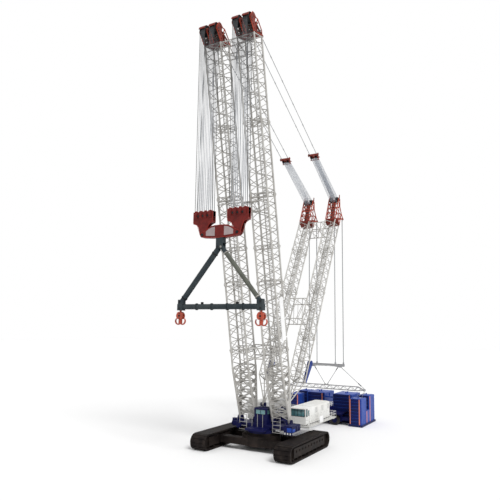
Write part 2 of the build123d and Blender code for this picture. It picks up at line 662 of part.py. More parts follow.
def hook_block(y):
    """Hook block with arched lower edges, its scalloped sheave covers and its sheaves."""
    w, waist = BLOCK_W / 2, 70.0
    top, low = BLOCK_TOP, BLOCK_PIN_Z
    wide_to = top - 188
    parts = []
    for s in (-1, 1):
        x = SHAFT_AT[0] + s * (BLOCK_T / 2 - 6)
        edges = [Polyline((y - w, wide_to), (y - w, top - 14), (y + w, top - 14), (y + w, wide_to)),
                 ThreePointArc((y + w, wide_to), (y + w - 76, wide_to - 44), (y + waist, low + 64)),
                 Line((y + waist, low + 64), (y + 50, low)),
                 ThreePointArc((y + 50, low), (y, low - 44), (y - 50, low)),
                 Line((y - 50, low), (y - waist, low + 64)),
                 ThreePointArc((y - waist, low + 64), (y - w + 76, wide_to - 44), (y - w, wide_to))]
        parts.append(outline_yz(edges, x, 12))
    faces = (SHAFT_AT[0] - BLOCK_T / 2, SHAFT_AT[0] + BLOCK_T / 2)
    parts.append(block(faces, (y - w, y + w), (top - 206, top - 170)))
    for k in (-0.72, -0.24, 0.24, 0.72):
        yc = y + k * w
        parts.append(rod_y(SHAFT_AT[0], top - 76, 66, (yc - 20, yc + 20)))
        for s in (-1, 1):
            x = SHAFT_AT[0] + s * (BLOCK_T / 2 - 6)
            parts.append(Pos(x, yc, top - 40) * Rot(0, 90, 0) * Cylinder(40, 12))
    parts.append(rod_y(SHAFT_AT[0], top - 76, 14, (y - w, y + w)))
    parts.append(Pos(SHAFT_AT[0], y, low) * Rot(0, 90, 0) * Cylinder(24, BLOCK_T + 16))
    return joined(parts)


def rocker():
    """Crowned equalising beam between the two block pins, with the swivel post under it."""
    x = SHAFT_AT[0]
    pin, end_r, crown = BLOCK_PIN_Z, 40.0, BLOCK_PIN_Z + 134
    edges = [ThreePointArc((-150, crown - 8), (0, crown), (150, crown - 8)),
             ThreePointArc((150, crown - 8), (218, crown - 44), (BOOM_Y, pin + end_r)),
             ThreePointArc((BOOM_Y, pin + end_r), (BOOM_Y + end_r, pin), (BOOM_Y, pin - end_r)),
             ThreePointArc((BOOM_Y, pin - end_r), (0, PIVOT_TOP + FACE_GAP), (-BOOM_Y, pin - end_r)),
             ThreePointArc((-BOOM_Y, pin - end_r), (-BOOM_Y - end_r, pin), (-BOOM_Y, pin + end_r)),
             ThreePointArc((-BOOM_Y, pin + end_r), (-218, crown - 44), (-150, crown - 8))]
    body = outline_yz(edges, x, ROCKER_T)
    for s in (-1, 1):
        body -= Pos(x, s * BOOM_Y, pin) * Rot(0, 90, 0) * Cylinder(24 + RUN, 90)
    post = Pos(x, 0, (3392 + 3300) / 2) * Cylinder(SWIVEL_R, 92)
    head = Pos(x, 0, 3300 - 8) * Cylinder(30, 18)
    return joined([body, post, head])


def spreader_pivot():
    """Pivot block at the apex, turning on the post."""
    x = SHAFT_AT[0]
    body = block((x - 48, x + 48), (-62, 62), (3302, PIVOT_TOP))
    cheeks = [block(sorted((x + s * 34, x + s * 48)), (-62, 62), (3215, 3303)) for s in (-1, 1)]
    body = joined([body] + cheeks)
    pins = [Pos(x, s * 30, 3242) * Rot(0, 90, 0) * Cylinder(13, 104) for s in (-1, 1)]
    body = joined([body] + pins)
    return body - Pos(x, 0, 3347) * Cylinder(SWIVEL_R + RUN, 92)


def spreader_strut(side):
    """Round strut from the apex down to one end of the tube."""
    x = SHAFT_AT[0]
    top = Vector(x, side * 40, 3222)
    low = Vector(x, side * (SPREADER_HALF - 22), SPREADER_Z + 78)
    run = low - top
    tube = extrude(Plane(origin=top, z_dir=run) * Circle(STRUT_R[side]), amount=run.length)
    ear = Pos(x, side * 30, 3242) * Rot(0, 90, 0) * Cylinder(27, 64)
    toe = block((x - 41, x + 41), sorted((side * (SPREADER_HALF - 66), side * (SPREADER_HALF + 26))),
                (SPREADER_Z + 43, SPREADER_Z + 112))
    return joined([tube, ear, toe])


def spreader_tube():
    """Horizontal tube with flanges and a black end piece each side."""
    x = SHAFT_AT[0]
    parts = [rod_y(x, SPREADER_Z, SPREADER_R, (-SPREADER_HALF, SPREADER_HALF))]
    for y in (-420.0, -140.0, 140.0, 420.0):
        parts.append(rod_y(x, SPREADER_Z, 54, (y - 8, y + 8)))
    for s in (-1, 1):
        parts.append(block((x - 46, x + 46), sorted((s * (SPREADER_HALF - 60), s * (SPREADER_HALF + 34))),
                           (SPREADER_Z - 58, SPREADER_Z + 44)))
    body = joined(parts)
    for s in (-1, 1):
        body -= Pos(x, s * (SPREADER_HALF - 5), SPREADER_Z - 58) * Cylinder(SWIVEL_R + RUN, 60)
    return body


def ramshorn(side):
    """Double hook turning under one end of the tube."""
    x = SHAFT_AT[0]
    y = side * (SPREADER_HALF - 5)
    z = SPREADER_Z - 58
    shank = Pos(x, y, z - 20) * Cylinder(SWIVEL_R, 90)
    body = block((x - 40, x + 40), (y - 52, y + 52), (z - 118, z - 40))
    saddle = Circle(50) - Circle(25) - Pos(0, 40) * Rectangle(120, 64)
    outline = Pos(50, -62) * saddle + Pos(-50, -62) * saddle + Pos(0, -52) * Rectangle(46, 104)
    tips = [Pos(s * 87.5, -54) * Circle(12.5) for s in (-1, 1)]
    horn = Pos(x, y, z - 110) * extrude(Plane.YZ * (outline + tips), amount=21, both=True)
    return joined([shank, body, horn])


def guide_frame():
    """Two beams from the deck's rear to the superlift carrier."""
    parts = []
    for s in (-1, 1):
        parts.append(block((-2662, DECK_X[0]), sorted((s * 190, s * 250)), GUIDE_Z))
    for x in (-1640.0, -1900.0, -2160.0, -2420.0):
        parts.append(block((x - 20, x + 20), (-192, 192), (GUIDE_Z[0] + 8, GUIDE_Z[1] - 8)))
    return joined(parts)


def carrier():
    """Superlift carrier: guide frame, axle beam, deck and the links to the trays."""
    mid = sum(WHEEL_X) / 2
    parts = [guide_frame(), block((mid - 48, mid + 48), (-400, 400), (70, 200))]
    parts.append(block((-3090, -2660), (-430, 430), (225, 245)))
    parts.append(block((mid - 40, mid + 40), (-400, 400), (198, 228)))
    parts.append(block((-2700, -2660), (-260, 260), (240, GUIDE_Z[1])))
    for s in (-1, 1):
        y = s * WHEEL_Y
        axle = Cylinder(AXLE_R, WHEEL_X[0] - WHEEL_X[1] + WHEEL_W + 16)
        parts.append(Pos(mid, y, WHEEL_R) * Rot(0, 90, 0) * axle)
        parts.append(block((mid - 48, mid + 48), sorted((s * 399, s * 572)), (100, 160)))
    parts.append(block((-3140, -3060), (-100, 100), (225, 245)))
    return joined(parts)


def wheel(x, y):
    """Carrier wheel, rolling sideways round the crane."""
    r = WHEEL_R
    w = WHEEL_W / 2
    half = [(AXLE_R + RUN, -w + 8), (58, -w + 8), (62, -w + 2), (r - 10, -w), (r, -w + 12),
            (r, w - 12), (r - 10, w), (62, w - 2), (58, w - 8), (AXLE_R + RUN, w - 8)]
    face = make_face(Polyline(*half, close=True))
    ring = revolve(Plane.XY * face, axis=Axis.Y)
    return Pos(x, y, r) * Rot(0, 0, 90) * ring


def trays():
    """Base tray under all the ballast."""
    parts = [block((-3700, -3076), (-862, 862), (0, TRAY_Z))]
    for s in (-1, 1):
        parts.append(block((-3100, -2744), sorted((s * 572, s * 862)), (0, TRAY_Z)))
        parts.append(block((-2910, -2790), sorted((s * 572, s * 592)), (TRAY_Z - 2, 200)))
    return joined(parts)


def lifting_lug(x, y, z):
    """Upright lug with a bore along y, standing on a face at z."""
    plate = block((x - 22, x + 22), (y - 8, y + 8), (z - 2, z + 36))
    return plate - rod_y(x, z + 18, LUG_BORE_R, (y - 20, y + 20))


def slabs(x, y, top, count):
    """Ballast slabs on top of each other, with a seam between every two."""
    seam, deep = 5.0, 4.0
    step = (top - TRAY_Z) / count
    parts = [block((x[0] + deep, x[1] - deep), (y[0] + deep, y[1] - deep), (TRAY_Z, top))]
    for k in range(count):
        low = TRAY_Z + k * step
        parts.append(block(x, y, (low + (seam if k else 0), low + step)))
    return joined(parts)


def ballast_inner(side):
    """Inner ballast stack with two lifting lugs."""
    y = sorted((side * 100, side * 520))
    parts = [slabs((-3680, -3090), y, 590, 8)]
    for x in INNER_LUG_X:
        parts.append(lifting_lug(x, side * 310, 590))
    return joined(parts)


def ballast_outer(side):
    """Outer pair of ballast stacks joined low down, with lifting lugs."""
    y = sorted((side * 592, side * 842))
    parts = [slabs((-3110, -2762), y, 560, 8), slabs((-3680, -3330), y, 575, 8)]
    parts.append(block((-3335, -3105), y, (TRAY_Z, 290)))
    for x, top in ((-2948.0, 560), (-3505.0, 575)):
        parts.append(lifting_lug(x, side * 717, top))
    return joined(parts)


def inner_ballast():
    """Both inner stacks with the bar and post between them."""
    bar_ = block((-3160, -3120), (-101, 101), (500, 530))
    post = block((-3152, -3128), (-10, 10), (529, 600))
    return joined([ballast_inner(1), ballast_inner(-1), bar_, post])


def back_pendants():
    """Four bars hanging from the rear arms of the mast heads."""
    bars = []
    for y in (MAST_Y + 92, MAST_Y - 92, 92 - MAST_Y, -92 - MAST_Y):
        eye = rod_y(REAR_TIP[0], REAR_TIP[1], 19, (y - 7, y + 7))
        rail = block((REAR_TIP[0] - 8, REAR_TIP[0] + 8), (y - 7, y + 7), (BEAM_Z[1], REAR_TIP[1] - 14))
        bars.append(eye + rail - rod_y(REAR_TIP[0], REAR_TIP[1], STAY_PIN_R + RUN, (y - 20, y + 20)))
    return Compound(bars)


def bow_beam():
    """Beam that spreads the pendants, deeper in the middle of each side."""
    x = REAR_TIP[0]
    b = BEAM_Y
    pts = [(-b, BEAM_Z[1]), (b, BEAM_Z[1]), (b, BEAM_Z[0] + 8), (MAST_Y, BEAM_Z[0] - 20),
           (120, BEAM_Z[0] + 12), (-120, BEAM_Z[0] + 12), (-MAST_Y, BEAM_Z[0] - 20), (-b, BEAM_Z[0] + 8)]
    return plate_yz(pts, x, 50)


def lower_truss():
    """Lateral lattice truss over the ballast."""
    x = REAR_TIP[0]
    body = lattice(2 * TAPER_Y, TRUSS_Z[1] - TRUSS_Z[0], 70, 14, 8, 14)
    parts = [Pos(x, -TAPER_Y, sum(TRUSS_Z) / 2) * Rot(-90, 0, 0) * body]
    for s in (-1, 1):
        y, tip = s * (TAPER_Y - 7), s * (TRUSS_Y - 20)
        for sx in (-1, 1):
            for z in TRUSS_Z:
                parts.append(bar((x + sx * 35, y, z), (x + sx * 12, tip, TIP_Z), 14, 14))
            parts.append(bar((x + sx * 35, y, TRUSS_Z[0]), (x + sx * 24, (y + tip) / 2, TIP_Z + 24), 8, 8))
        parts.append(block((x - 28, x + 28), sorted((tip - 20, tip + 20)), (TIP_Z - 16, TIP_Z + 16)))
    return joined(parts)


def hanger(side):
    """Stays from the bow beam down to the lower truss, one half."""
    x = REAR_TIP[0]
    z1 = BEAM_Z[0] - 10
    z0 = TRUSS_Z[1] + 15
    y = side * MAST_Y
    parts = []
    for start, end, low in ((y + side * 30, side * (TRUSS_Y - 20), TIP_Z + 24), (y - side * 30, side * 26, z0)):
        parts.append(bar((x, start, z1), (x, end, low), 10, 10))
        parts.append(block((x - 28, x + 28), (end - 12, end + 12), (low - 8, low + 6)))
    parts.append(block((x - 12, x + 12), (y - 46, y + 46), (z1 - 12, z1 + 4)))
    return joined(parts)


def middle_truss():
    """Cross truss at mid height with the beam across both booms' front faces."""
    low, high, bays = BOOM_TRUSSES[1][1:]
    return boom_truss(low, high, bays) + front_beam()


nodes = {
    "carbody": carbody(),
    "platform": platform(),
    "centre_cabin": centre_cabin(),
    "winches": Compound([winch(x) for x in WINCHES]),
    "machine_house": machine_house(1),
    "engine_house": machine_house(-1),
    "cab": cab(),
    "cab_door": cab_door(),
    "walkway": walkway(),
    "carrier": carrier(),
    "ballast_trays": trays(),
    "ballast_inner": inner_ballast(),
    "hook_blocks": joined([hook_block(BOOM_Y), rocker(), hook_block(-BOOM_Y)]),
    "spreader": joined([spreader_pivot(), spreader_tube(), spreader_strut(1), spreader_strut(-1)]),
    "back_pendants": back_pendants(),
    "bow_beam": joined([bow_beam(), hanger(1), hanger(-1)]),
    "lower_truss": lower_truss(),
    "boom_truss_middle": lean(middle_truss(), BOOM_FOOT, BOOM_LEAN),
    "sign_panel": lean(sign_panel(), BOOM_FOOT, BOOM_LEAN),
}

one_boom, one_mast = boom(), mast()
for name, s in (("left", 1), ("right", -1)):
    gauge = s * TRACK_GAUGE / 2
    nodes[f"track_{name}"] = track(gauge)
    nodes[f"crawler_frame_{name}"] = crawler_frame(gauge)
    nodes[f"boom_{name}"] = lean(one_boom, BOOM_FOOT, BOOM_LEAN, s * BOOM_Y)
    turned = one_mast if s > 0 else mirror(one_mast, about=Plane.XZ)
    nodes[f"mast_{name}"] = lean(turned, MAST_FOOT, MAST_LEAN, s * MAST_Y)
    nodes[f"ramshorn_{name}"] = ramshorn(s)
    nodes[f"ballast_outer_{name}"] = ballast_outer(s)
    for place, x in zip(("front", "rear"), WHEEL_X):
        nodes[f"wheel_{place}_{name}"] = wheel(x, s * WHEEL_Y)


def twice(shape, foot, angle, y):
    """The same piece leaning on the left and on the right, in one node."""
    return Compound([lean(shape, foot, angle, y), lean(shape, foot, angle, -y)])


nodes["boom_heads"] = twice(boom_head(), BOOM_FOOT, BOOM_LEAN, BOOM_Y)
nodes["head_sheaves"] = twice(head_sheaves(), BOOM_FOOT, BOOM_LEAN, BOOM_Y)
nodes["mast_heads"] = twice(mast_head(), MAST_FOOT, MAST_LEAN, MAST_Y)
nodes["mast_sheaves"] = twice(mast_sheaves(), MAST_FOOT, MAST_LEAN, MAST_Y)
nodes["mast_winches"] = Compound([lean(mast_winch(s), MAST_FOOT, MAST_LEAN, s * MAST_Y) for s in (1, -1)])
nodes["boom_stays"] = Compound([stay(BOOM_Y), stay(-BOOM_Y)])
for name, low, high, bays in (BOOM_TRUSSES[0], BOOM_TRUSSES[2]):
    nodes[name] = lean(boom_truss(low, high, bays), BOOM_FOOT, BOOM_LEAN)
for name, low, high, bays in MAST_TRUSSES:
    nodes[name] = lean(mast_truss(low, high, bays), MAST_FOOT, MAST_LEAN)

for name, shape in nodes.items():
    shape.label = name
    export_step(shape, f"parts/{name}.step")
    box = shape.bounding_box()
    print(f"{name:22s} {box.min.X:9.1f} {box.max.X:9.1f} {box.min.Y:9.1f} {box.max.Y:9.1f} "
          f"{box.min.Z:9.1f} {box.max.Z:9.1f}  solids {len(shape.solids())}")
print("arm tip", ARM_TIP, "mast top", MAST_TOP, "rear tip", REAR_TIP, "shaft", SHAFT_AT, "slope", STAY_SLOPE)
print("nodes", len(nodes))
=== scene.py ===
import math
import bmesh
import bpy
from mathutils import Matrix, Vector


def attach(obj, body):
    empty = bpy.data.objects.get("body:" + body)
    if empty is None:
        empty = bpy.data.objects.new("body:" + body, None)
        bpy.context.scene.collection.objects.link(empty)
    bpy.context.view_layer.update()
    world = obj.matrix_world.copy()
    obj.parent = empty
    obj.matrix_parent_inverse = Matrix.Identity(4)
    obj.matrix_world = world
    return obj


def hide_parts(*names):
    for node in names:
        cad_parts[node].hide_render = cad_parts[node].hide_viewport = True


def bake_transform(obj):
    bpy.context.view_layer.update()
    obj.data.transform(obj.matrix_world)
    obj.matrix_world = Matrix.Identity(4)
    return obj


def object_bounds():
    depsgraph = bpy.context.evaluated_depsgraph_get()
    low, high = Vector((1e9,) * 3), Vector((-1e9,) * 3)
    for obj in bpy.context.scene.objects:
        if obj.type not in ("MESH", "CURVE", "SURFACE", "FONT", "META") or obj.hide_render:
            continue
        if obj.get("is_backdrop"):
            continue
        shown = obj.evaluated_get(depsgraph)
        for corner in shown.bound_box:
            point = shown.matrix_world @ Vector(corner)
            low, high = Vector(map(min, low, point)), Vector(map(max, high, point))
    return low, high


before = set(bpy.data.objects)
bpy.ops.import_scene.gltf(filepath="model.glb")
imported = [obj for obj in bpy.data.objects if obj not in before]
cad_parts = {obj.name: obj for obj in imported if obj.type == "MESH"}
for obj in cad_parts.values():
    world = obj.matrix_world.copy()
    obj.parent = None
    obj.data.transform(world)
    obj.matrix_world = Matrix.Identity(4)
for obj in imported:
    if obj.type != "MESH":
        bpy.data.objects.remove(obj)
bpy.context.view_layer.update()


# The studio: a pale floor, a surround that is white to the camera and dimmer as a light,
# and one soft lamp high on the crane's left, so that tops and left sides are bright and
# the front faces lie in soft shade.
FLOOR_SIZE = 90.0
FLOOR_DROP = 0.002
FLOOR_PALE = (0.93, 0.93, 0.93, 1)
SUN_FROM = Vector((0.44, 0.70, 0.92))
SUN_POWER = 2.1
SUN_WIDE = math.radians(24)
SKY_LEVEL = 0.62

bpy.context.scene.view_settings.view_transform = "Standard"
world = bpy.data.worlds.new("studio")
bpy.context.scene.world = world
world.use_nodes = True
sky_nodes, sky_links = world.node_tree.nodes, world.node_tree.links
ray = sky_nodes.new("ShaderNodeLightPath")
seen = sky_nodes.new("ShaderNodeMath")
seen.operation = "MAXIMUM"
sky_links.new(ray.outputs["Is Camera Ray"], seen.inputs[0])
sky_links.new(ray.outputs["Is Transmission Ray"], seen.inputs[1])
shiny = sky_nodes.new("ShaderNodeMath")
shiny.operation = "MAXIMUM"
sky_links.new(seen.outputs[0], shiny.inputs[0])
sky_links.new(ray.outputs["Is Glossy Ray"], shiny.inputs[1])
level = sky_nodes.new("ShaderNodeMapRange")
level.inputs["To Min"].default_value = SKY_LEVEL
level.inputs["To Max"].default_value = 1.0
sky_links.new(shiny.outputs[0], level.inputs["Value"])
sky_links.new(level.outputs[0], sky_nodes["Background"].inputs["Strength"])
sky_nodes["Background"].inputs["Color"].default_value = (1, 1, 1, 1)

lamp = bpy.data.lights.new("soft_lamp", "SUN")
lamp.energy = SUN_POWER
lamp.angle = SUN_WIDE
lamp_object = bpy.data.objects.new("soft_lamp", lamp)
lamp_object.rotation_mode = "QUATERNION"
lamp_object.rotation_quaternion = SUN_FROM.to_track_quat("Z", "Y")
bpy.context.collection.objects.link(lamp_object)

floor_mesh = bpy.data.meshes.new("floor")
floor_bm = bmesh.new()
bmesh.ops.create_grid(floor_bm, x_segments=1, y_segments=1, size=FLOOR_SIZE / 2)
bmesh.ops.translate(floor_bm, vec=(0, 0, -FLOOR_DROP), verts=floor_bm.verts)
floor_bm.to_mesh(floor_mesh)
floor_bm.free()
floor = bpy.data.objects.new("floor", floor_mesh)
bpy.context.collection.objects.link(floor)
floor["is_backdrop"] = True
floor_finish = bpy.data.materials.new("pale_floor")
floor_finish.use_nodes = True
floor_shader = floor_finish.node_tree.nodes["Principled BSDF"]
floor_shader.inputs["Base Color"].default_value = FLOOR_PALE
floor_shader.inputs["Roughness"].default_value = 0.9
floor_mesh.materials.append(floor_finish)


# The camera stands ahead of the crane on its left, two metres up beside the 1:10
# model, and looks slightly upward with a normal lens.
EYE = Vector((8.23, 4.44, 2.05))
YAW, PITCH, ROLL = 0.521, 0.141, 0.015
LENS = 38.2
SENSOR = 36.0
CLIP_FAR = 200.0

ahead = Vector((-math.cos(YAW) * math.cos(PITCH), -math.sin(YAW) * math.cos(PITCH), math.sin(PITCH)))
level_right = Vector((-math.sin(YAW), math.cos(YAW), 0))
level_up = level_right.cross(ahead)
right = level_right * math.cos(ROLL) + level_up * math.sin(ROLL)
up = level_up * math.cos(ROLL) - level_right * math.sin(ROLL)
camera_data = bpy.data.cameras.new("camera")
camera_data.lens = LENS
camera_data.sensor_width = SENSOR
camera_data.clip_end = CLIP_FAR
camera = bpy.data.objects.new("camera", camera_data)
camera.matrix_world = Matrix((right, up, -ahead)).transposed().to_4x4()
camera.location = EYE
bpy.context.collection.objects.link(camera)
bpy.context.scene.camera = camera


# The lattice booms: steel tubes, four round chords laced by diagonals on every face,
# welded in sections that are pinned together, with a tapered foot of heavier tubes and
# plate gussets. They are painted a warm pale grey that dust has dulled.
SIDES = (("left", 1), ("right", -1))
BOOM_FOOT = Vector((-0.1, 0.0, 0.457))
BOOM_LEAN = math.radians(11.4)
BOOM_Y = 0.32
BOOMS = (-BOOM_Y, BOOM_Y)
BOOM_ACROSS = 0.313
BOOM_DEEP = 0.266
BOOM_CHORD = 0.0160
BOOM_LACE = 0.0070
BOOM_LOW, BOOM_HIGH = 0.9, 6.44
BOOM_BAYS = 50
BOOM_JOINTS = (1.2, 2.35, 2.95, 3.82, 5.02)
JOINT_STEP = 0.032
FOOT_X, FOOT_Z = 0.022, 0.034
FOOT_STAGES = (0.0, 0.17, 0.34, 0.51, 0.68, 0.84, 1.0)
FOOT_BRACE = BOOM_LACE * 1.3
FOOT_EYE_R = 0.033
FOOT_EYE_HALF = 0.020
FOOT_PLATE = ((-0.04, 0.12), (0.04, 0.12), (0.076, 0.36), (-0.076, 0.36))
GUSSET_DEEP, GUSSET_HALF, GUSSET_TIP, GUSSET_THICK = 0.095, 0.062, 0.010, 0.004
PATCH_FROM, PATCH_TO = 0.42, 0.72
SPECK_FROM, SPECK_TO = 0.5, 0.8
RELIEF_DEEP = 0.002
CREASE = math.radians(32)


def ranged(nodes, links, source, start, end, low, high):
    """Bring a value from one range to another."""
    made = nodes.new("ShaderNodeMapRange")
    made.inputs["From Min"].default_value = start
    made.inputs["From Max"].default_value = end
    made.inputs["To Min"].default_value = low
    made.inputs["To Max"].default_value = high
    links.new(source, made.inputs["Value"])
    return made.outputs[0]


def weathered(name, colour, worn, amount, rough, grain=30.0, bump=0.15, metal=0.0, streaks=0.0, coat=0.0):
    """A painted or bare surface: broad weathering, fine specks, uneven gloss and a slight relief."""
    made = bpy.data.materials.new(name)
    made.use_nodes = True
    nodes, links = made.node_tree.nodes, made.node_tree.links
    shader = nodes["Principled BSDF"]
    shader.inputs["Metallic"].default_value = metal
    shader.inputs["Coat Weight"].default_value = coat
    shader.inputs["Specular IOR Level"].default_value = 0.12 if sum(colour) < 0.5 else 0.35
    place = nodes.new("ShaderNodeTexCoord")
    stretch = nodes.new("ShaderNodeMapping")
    stretch.inputs["Scale"].default_value = (1, 1, 1 - streaks)
    links.new(place.outputs["Object"], stretch.inputs["Vector"])
    broad = nodes.new("ShaderNodeTexNoise")
    broad.inputs["Scale"].default_value = grain * 0.22
    broad.inputs["Detail"].default_value = 7
    broad.inputs["Roughness"].default_value = 0.62
    links.new(stretch.outputs[0], broad.inputs["Vector"])
    tone = nodes.new("ShaderNodeMix")
    tone.data_type = "RGBA"
    tone.inputs["A"].default_value = (*colour, 1)
    tone.inputs["B"].default_value = (*worn, 1)
    patch = ranged(nodes, links, broad.outputs["Fac"], PATCH_FROM, PATCH_TO, 0, amount)
    links.new(patch, tone.inputs["Factor"])
    fine = nodes.new("ShaderNodeTexNoise")
    fine.inputs["Scale"].default_value = grain * 4
    fine.inputs["Detail"].default_value = 5
    links.new(stretch.outputs[0], fine.inputs["Vector"])
    both = nodes.new("ShaderNodeMix")
    both.data_type = "RGBA"
    both.inputs["B"].default_value = (worn[0] * 0.5, worn[1] * 0.5, worn[2] * 0.5, 1)
    speck = ranged(nodes, links, fine.outputs["Fac"], SPECK_FROM, SPECK_TO, 0, amount * 0.7)
    links.new(speck, both.inputs["Factor"])
    links.new(tone.outputs["Result"], both.inputs["A"])
    links.new(both.outputs["Result"], shader.inputs["Base Color"])
    gloss = ranged(nodes, links, broad.outputs["Fac"], 0, 1, max(rough - 0.12, 0.03), min(rough + 0.2, 1))
    links.new(gloss, shader.inputs["Roughness"])
    relief = nodes.new("ShaderNodeBump")
    relief.inputs["Strength"].default_value = bump
    relief.inputs["Distance"].default_value = RELIEF_DEEP
    links.new(fine.outputs["Fac"], relief.inputs["Height"])
    links.new(relief.outputs[0], shader.inputs["Normal"])
    return made


def tube(bm, start, end, radius, sides=8):
    """A straight round bar between two points."""
    start, end = Vector(start), Vector(end)
    run = end - start
    turn = run.to_track_quat("Z", "Y").to_matrix().to_4x4()
    bmesh.ops.create_cone(bm, cap_ends=True, segments=sides, radius1=radius, radius2=radius,
                          depth=run.length, matrix=Matrix.Translation((start + end) / 2) @ turn)


def pin(bm, middle, half, radius, sides=8):
    """A round bar across the crane, from its middle and half its length."""
    x, y, z = middle
    tube(bm, (x, y - half, z), (x, y + half, z), radius, sides)


def slab(bm, low, high, edge=0.0):
    """A rectangular block from its low to its high corner, with its edges rounded."""
    low, high = Vector(low), Vector(high)
    size = high - low
    made = bmesh.ops.create_cube(bm, size=1, matrix=Matrix.Translation((low + high) / 2)
                                 @ Matrix.Diagonal((*size, 1)))
    if edge:
        edges = list({e for v in made["verts"] for e in v.link_edges})
        bmesh.ops.bevel(bm, geom=edges, offset=edge, offset_type="OFFSET", segments=2, profile=0.5,
                        affect="EDGES", material=-1, clamp_overlap=True)


def block(bm, middle, half, edge=0.0):
    """A rectangular block from its middle and half its sizes."""
    middle, half = Vector(middle), Vector(half)
    slab(bm, middle - half, middle + half, edge)


def sheet_of(bm, outline, thick):
    """A flat plate: its outline's points, and a vector for its thickness."""
    face = bm.faces.new([bm.verts.new(point) for point in outline])
    made = bmesh.ops.extrude_face_region(bm, geom=[face])
    moved = [part for part in made["geom"] if isinstance(part, bmesh.types.BMVert)]
    bmesh.ops.translate(bm, vec=Vector(thick), verts=moved)


def upright(bm, outline, y, half):
    """A plate that stands along the crane: its outline in x and z, its middle y and half its thickness."""
    sheet_of(bm, [(x, y - half, z) for x, z in outline], (0, 2 * half, 0))


def linked(name, bm, finish):
    """Turn a bmesh into a mesh object of one finish in the scene."""
    mesh = bpy.data.meshes.new(name)
    bm.to_mesh(mesh)
    bm.free()
    mesh.materials.append(finish)
    made = bpy.data.objects.new(name, mesh)
    bpy.context.collection.objects.link(made)
    return made


def piece(name, bm, finish, body, stands_for=(), place=None, merge=0.0):
    """Turn a bmesh into a piece of the crane that rides on a body."""
    if place is not None:
        bmesh.ops.transform(bm, matrix=place, verts=bm.verts)
    if merge:
        bmesh.ops.remove_doubles(bm, verts=bm.verts, dist=merge)
    bmesh.ops.recalc_face_normals(bm, faces=bm.faces)
    for face in bm.faces:
        face.smooth = True
    for edge in bm.edges:
        edge.smooth = edge.calc_face_angle(0.0) < CREASE
    made = linked(name, bm, finish)
    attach(made, body)
    if stands_for:
        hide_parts(*stands_for)


def repaint(node, finish):
    """Give a carried-over node its finish."""
    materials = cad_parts[node].data.materials
    materials.clear()
    materials.append(finish)


def laced(bm, low, high, across, deep, bays, chord, lace):
    """Four chords upright along z, and diagonals that meet at the same points on every face."""
    half_y, half_x = across / 2, deep / 2
    for sx in (-1, 1):
        for sy in (-1, 1):
            tube(bm, (sx * half_x, sy * half_y, low), (sx * half_x, sy * half_y, high), chord, 10)
    pitch = (high - low) / bays
    for k in range(bays):
        s = -1 if k % 2 == 0 else 1
        z0, z1 = low + k * pitch, low + (k + 1) * pitch
        for side in (-1, 1):
            tube(bm, (side * half_x, s * half_y, z0), (side * half_x, -s * half_y, z1), lace, 6)
            tube(bm, (s * half_x, side * half_y, z0), (-s * half_x, side * half_y, z1), lace, 6)


def frame_ring(bm, z, across, deep, lace):
    """Four cross bars round a lattice at one height, with one diagonal."""
    half_y, half_x = across / 2, deep / 2
    for s in (-1, 1):
        pin(bm, (s * half_x, 0, z), half_y, lace, 6)
        tube(bm, (-half_x, s * half_y, z), (half_x, s * half_y, z), lace, 6)
    tube(bm, (-half_x, -half_y, z), (half_x, half_y, z), lace, 6)


def pinned_joints(bm, stations, step, across, deep, chord, lace):
    """Joints between lattice sections: a ring either side, and an eye with its pin on each chord."""
    for z in stations:
        for side in (-step, step):
            frame_ring(bm, z + side, across, deep, lace)
        for sx in (-1, 1):
            for sy in (-1, 1):
                x, y = sx * deep / 2, sy * across / 2
                tube(bm, (x, y, z - 0.03), (x, y, z + 0.03), chord * 1.45, 10)
                pin(bm, (x, y, z), chord * 1.9, chord * 0.6)


def boom_foot(bm):
    """The tapered foot: four chords that close in from front to rear, laced, plated and with eyes."""
    half_y, half_x = BOOM_ACROSS / 2, BOOM_DEEP / 2
    stages = [FOOT_Z + (BOOM_LOW - FOOT_Z) * k for k in FOOT_STAGES]
    spread = [FOOT_X + (half_x - FOOT_X) * k for k in FOOT_STAGES]
    for sx in (-1, 1):
        for sy in (-1, 1):
            tube(bm, (sx * FOOT_X, sy * half_y, FOOT_Z), (sx * half_x, sy * half_y, BOOM_LOW),
                 BOOM_CHORD * 1.25, 10)
        for i in range(1, 7):
            for a in (-1, 1):
                tube(bm, (sx * spread[i - 1], a * half_y, stages[i - 1]),
                     (sx * spread[i], -a * half_y, stages[i]), FOOT_BRACE, 6)
            pin(bm, (sx * spread[i], 0, stages[i]), half_y, BOOM_LACE * 1.4, 6)
    for sy in (-1, 1):
        y = sy * half_y
        for i in range(1, 6):
            a = 1 if i % 2 else -1
            tube(bm, (a * spread[i], y, stages[i]), (-a * spread[i + 1], y, stages[i + 1]), FOOT_BRACE, 6)
            tube(bm, (-spread[i], y, stages[i]), (spread[i], y, stages[i]), FOOT_BRACE, 6)
        block(bm, (0, y, 0.080), (0.036, FOOT_EYE_HALF, 0.070), 0.004)
        pin(bm, (0, y, 0), FOOT_EYE_HALF, FOOT_EYE_R, 24)
        upright(bm, FOOT_PLATE, y, 0.006)
        for sx in (-1, 1):
            for i in (2, 3, 4, 5):
                x, z = sx * (spread[i] + GUSSET_THICK), stages[i]
                tip = y - sy * GUSSET_DEEP
                sheet_of(bm, [(x, y, z - GUSSET_HALF), (x, y, z + GUSSET_HALF), (x, tip, z + GUSSET_TIP),
                              (x, tip, z - GUSSET_TIP)], (-sx * GUSSET_THICK, 0, 0))
    block(bm, (0, 0, 0.105), (0.03, half_y, 0.020), 0.004)


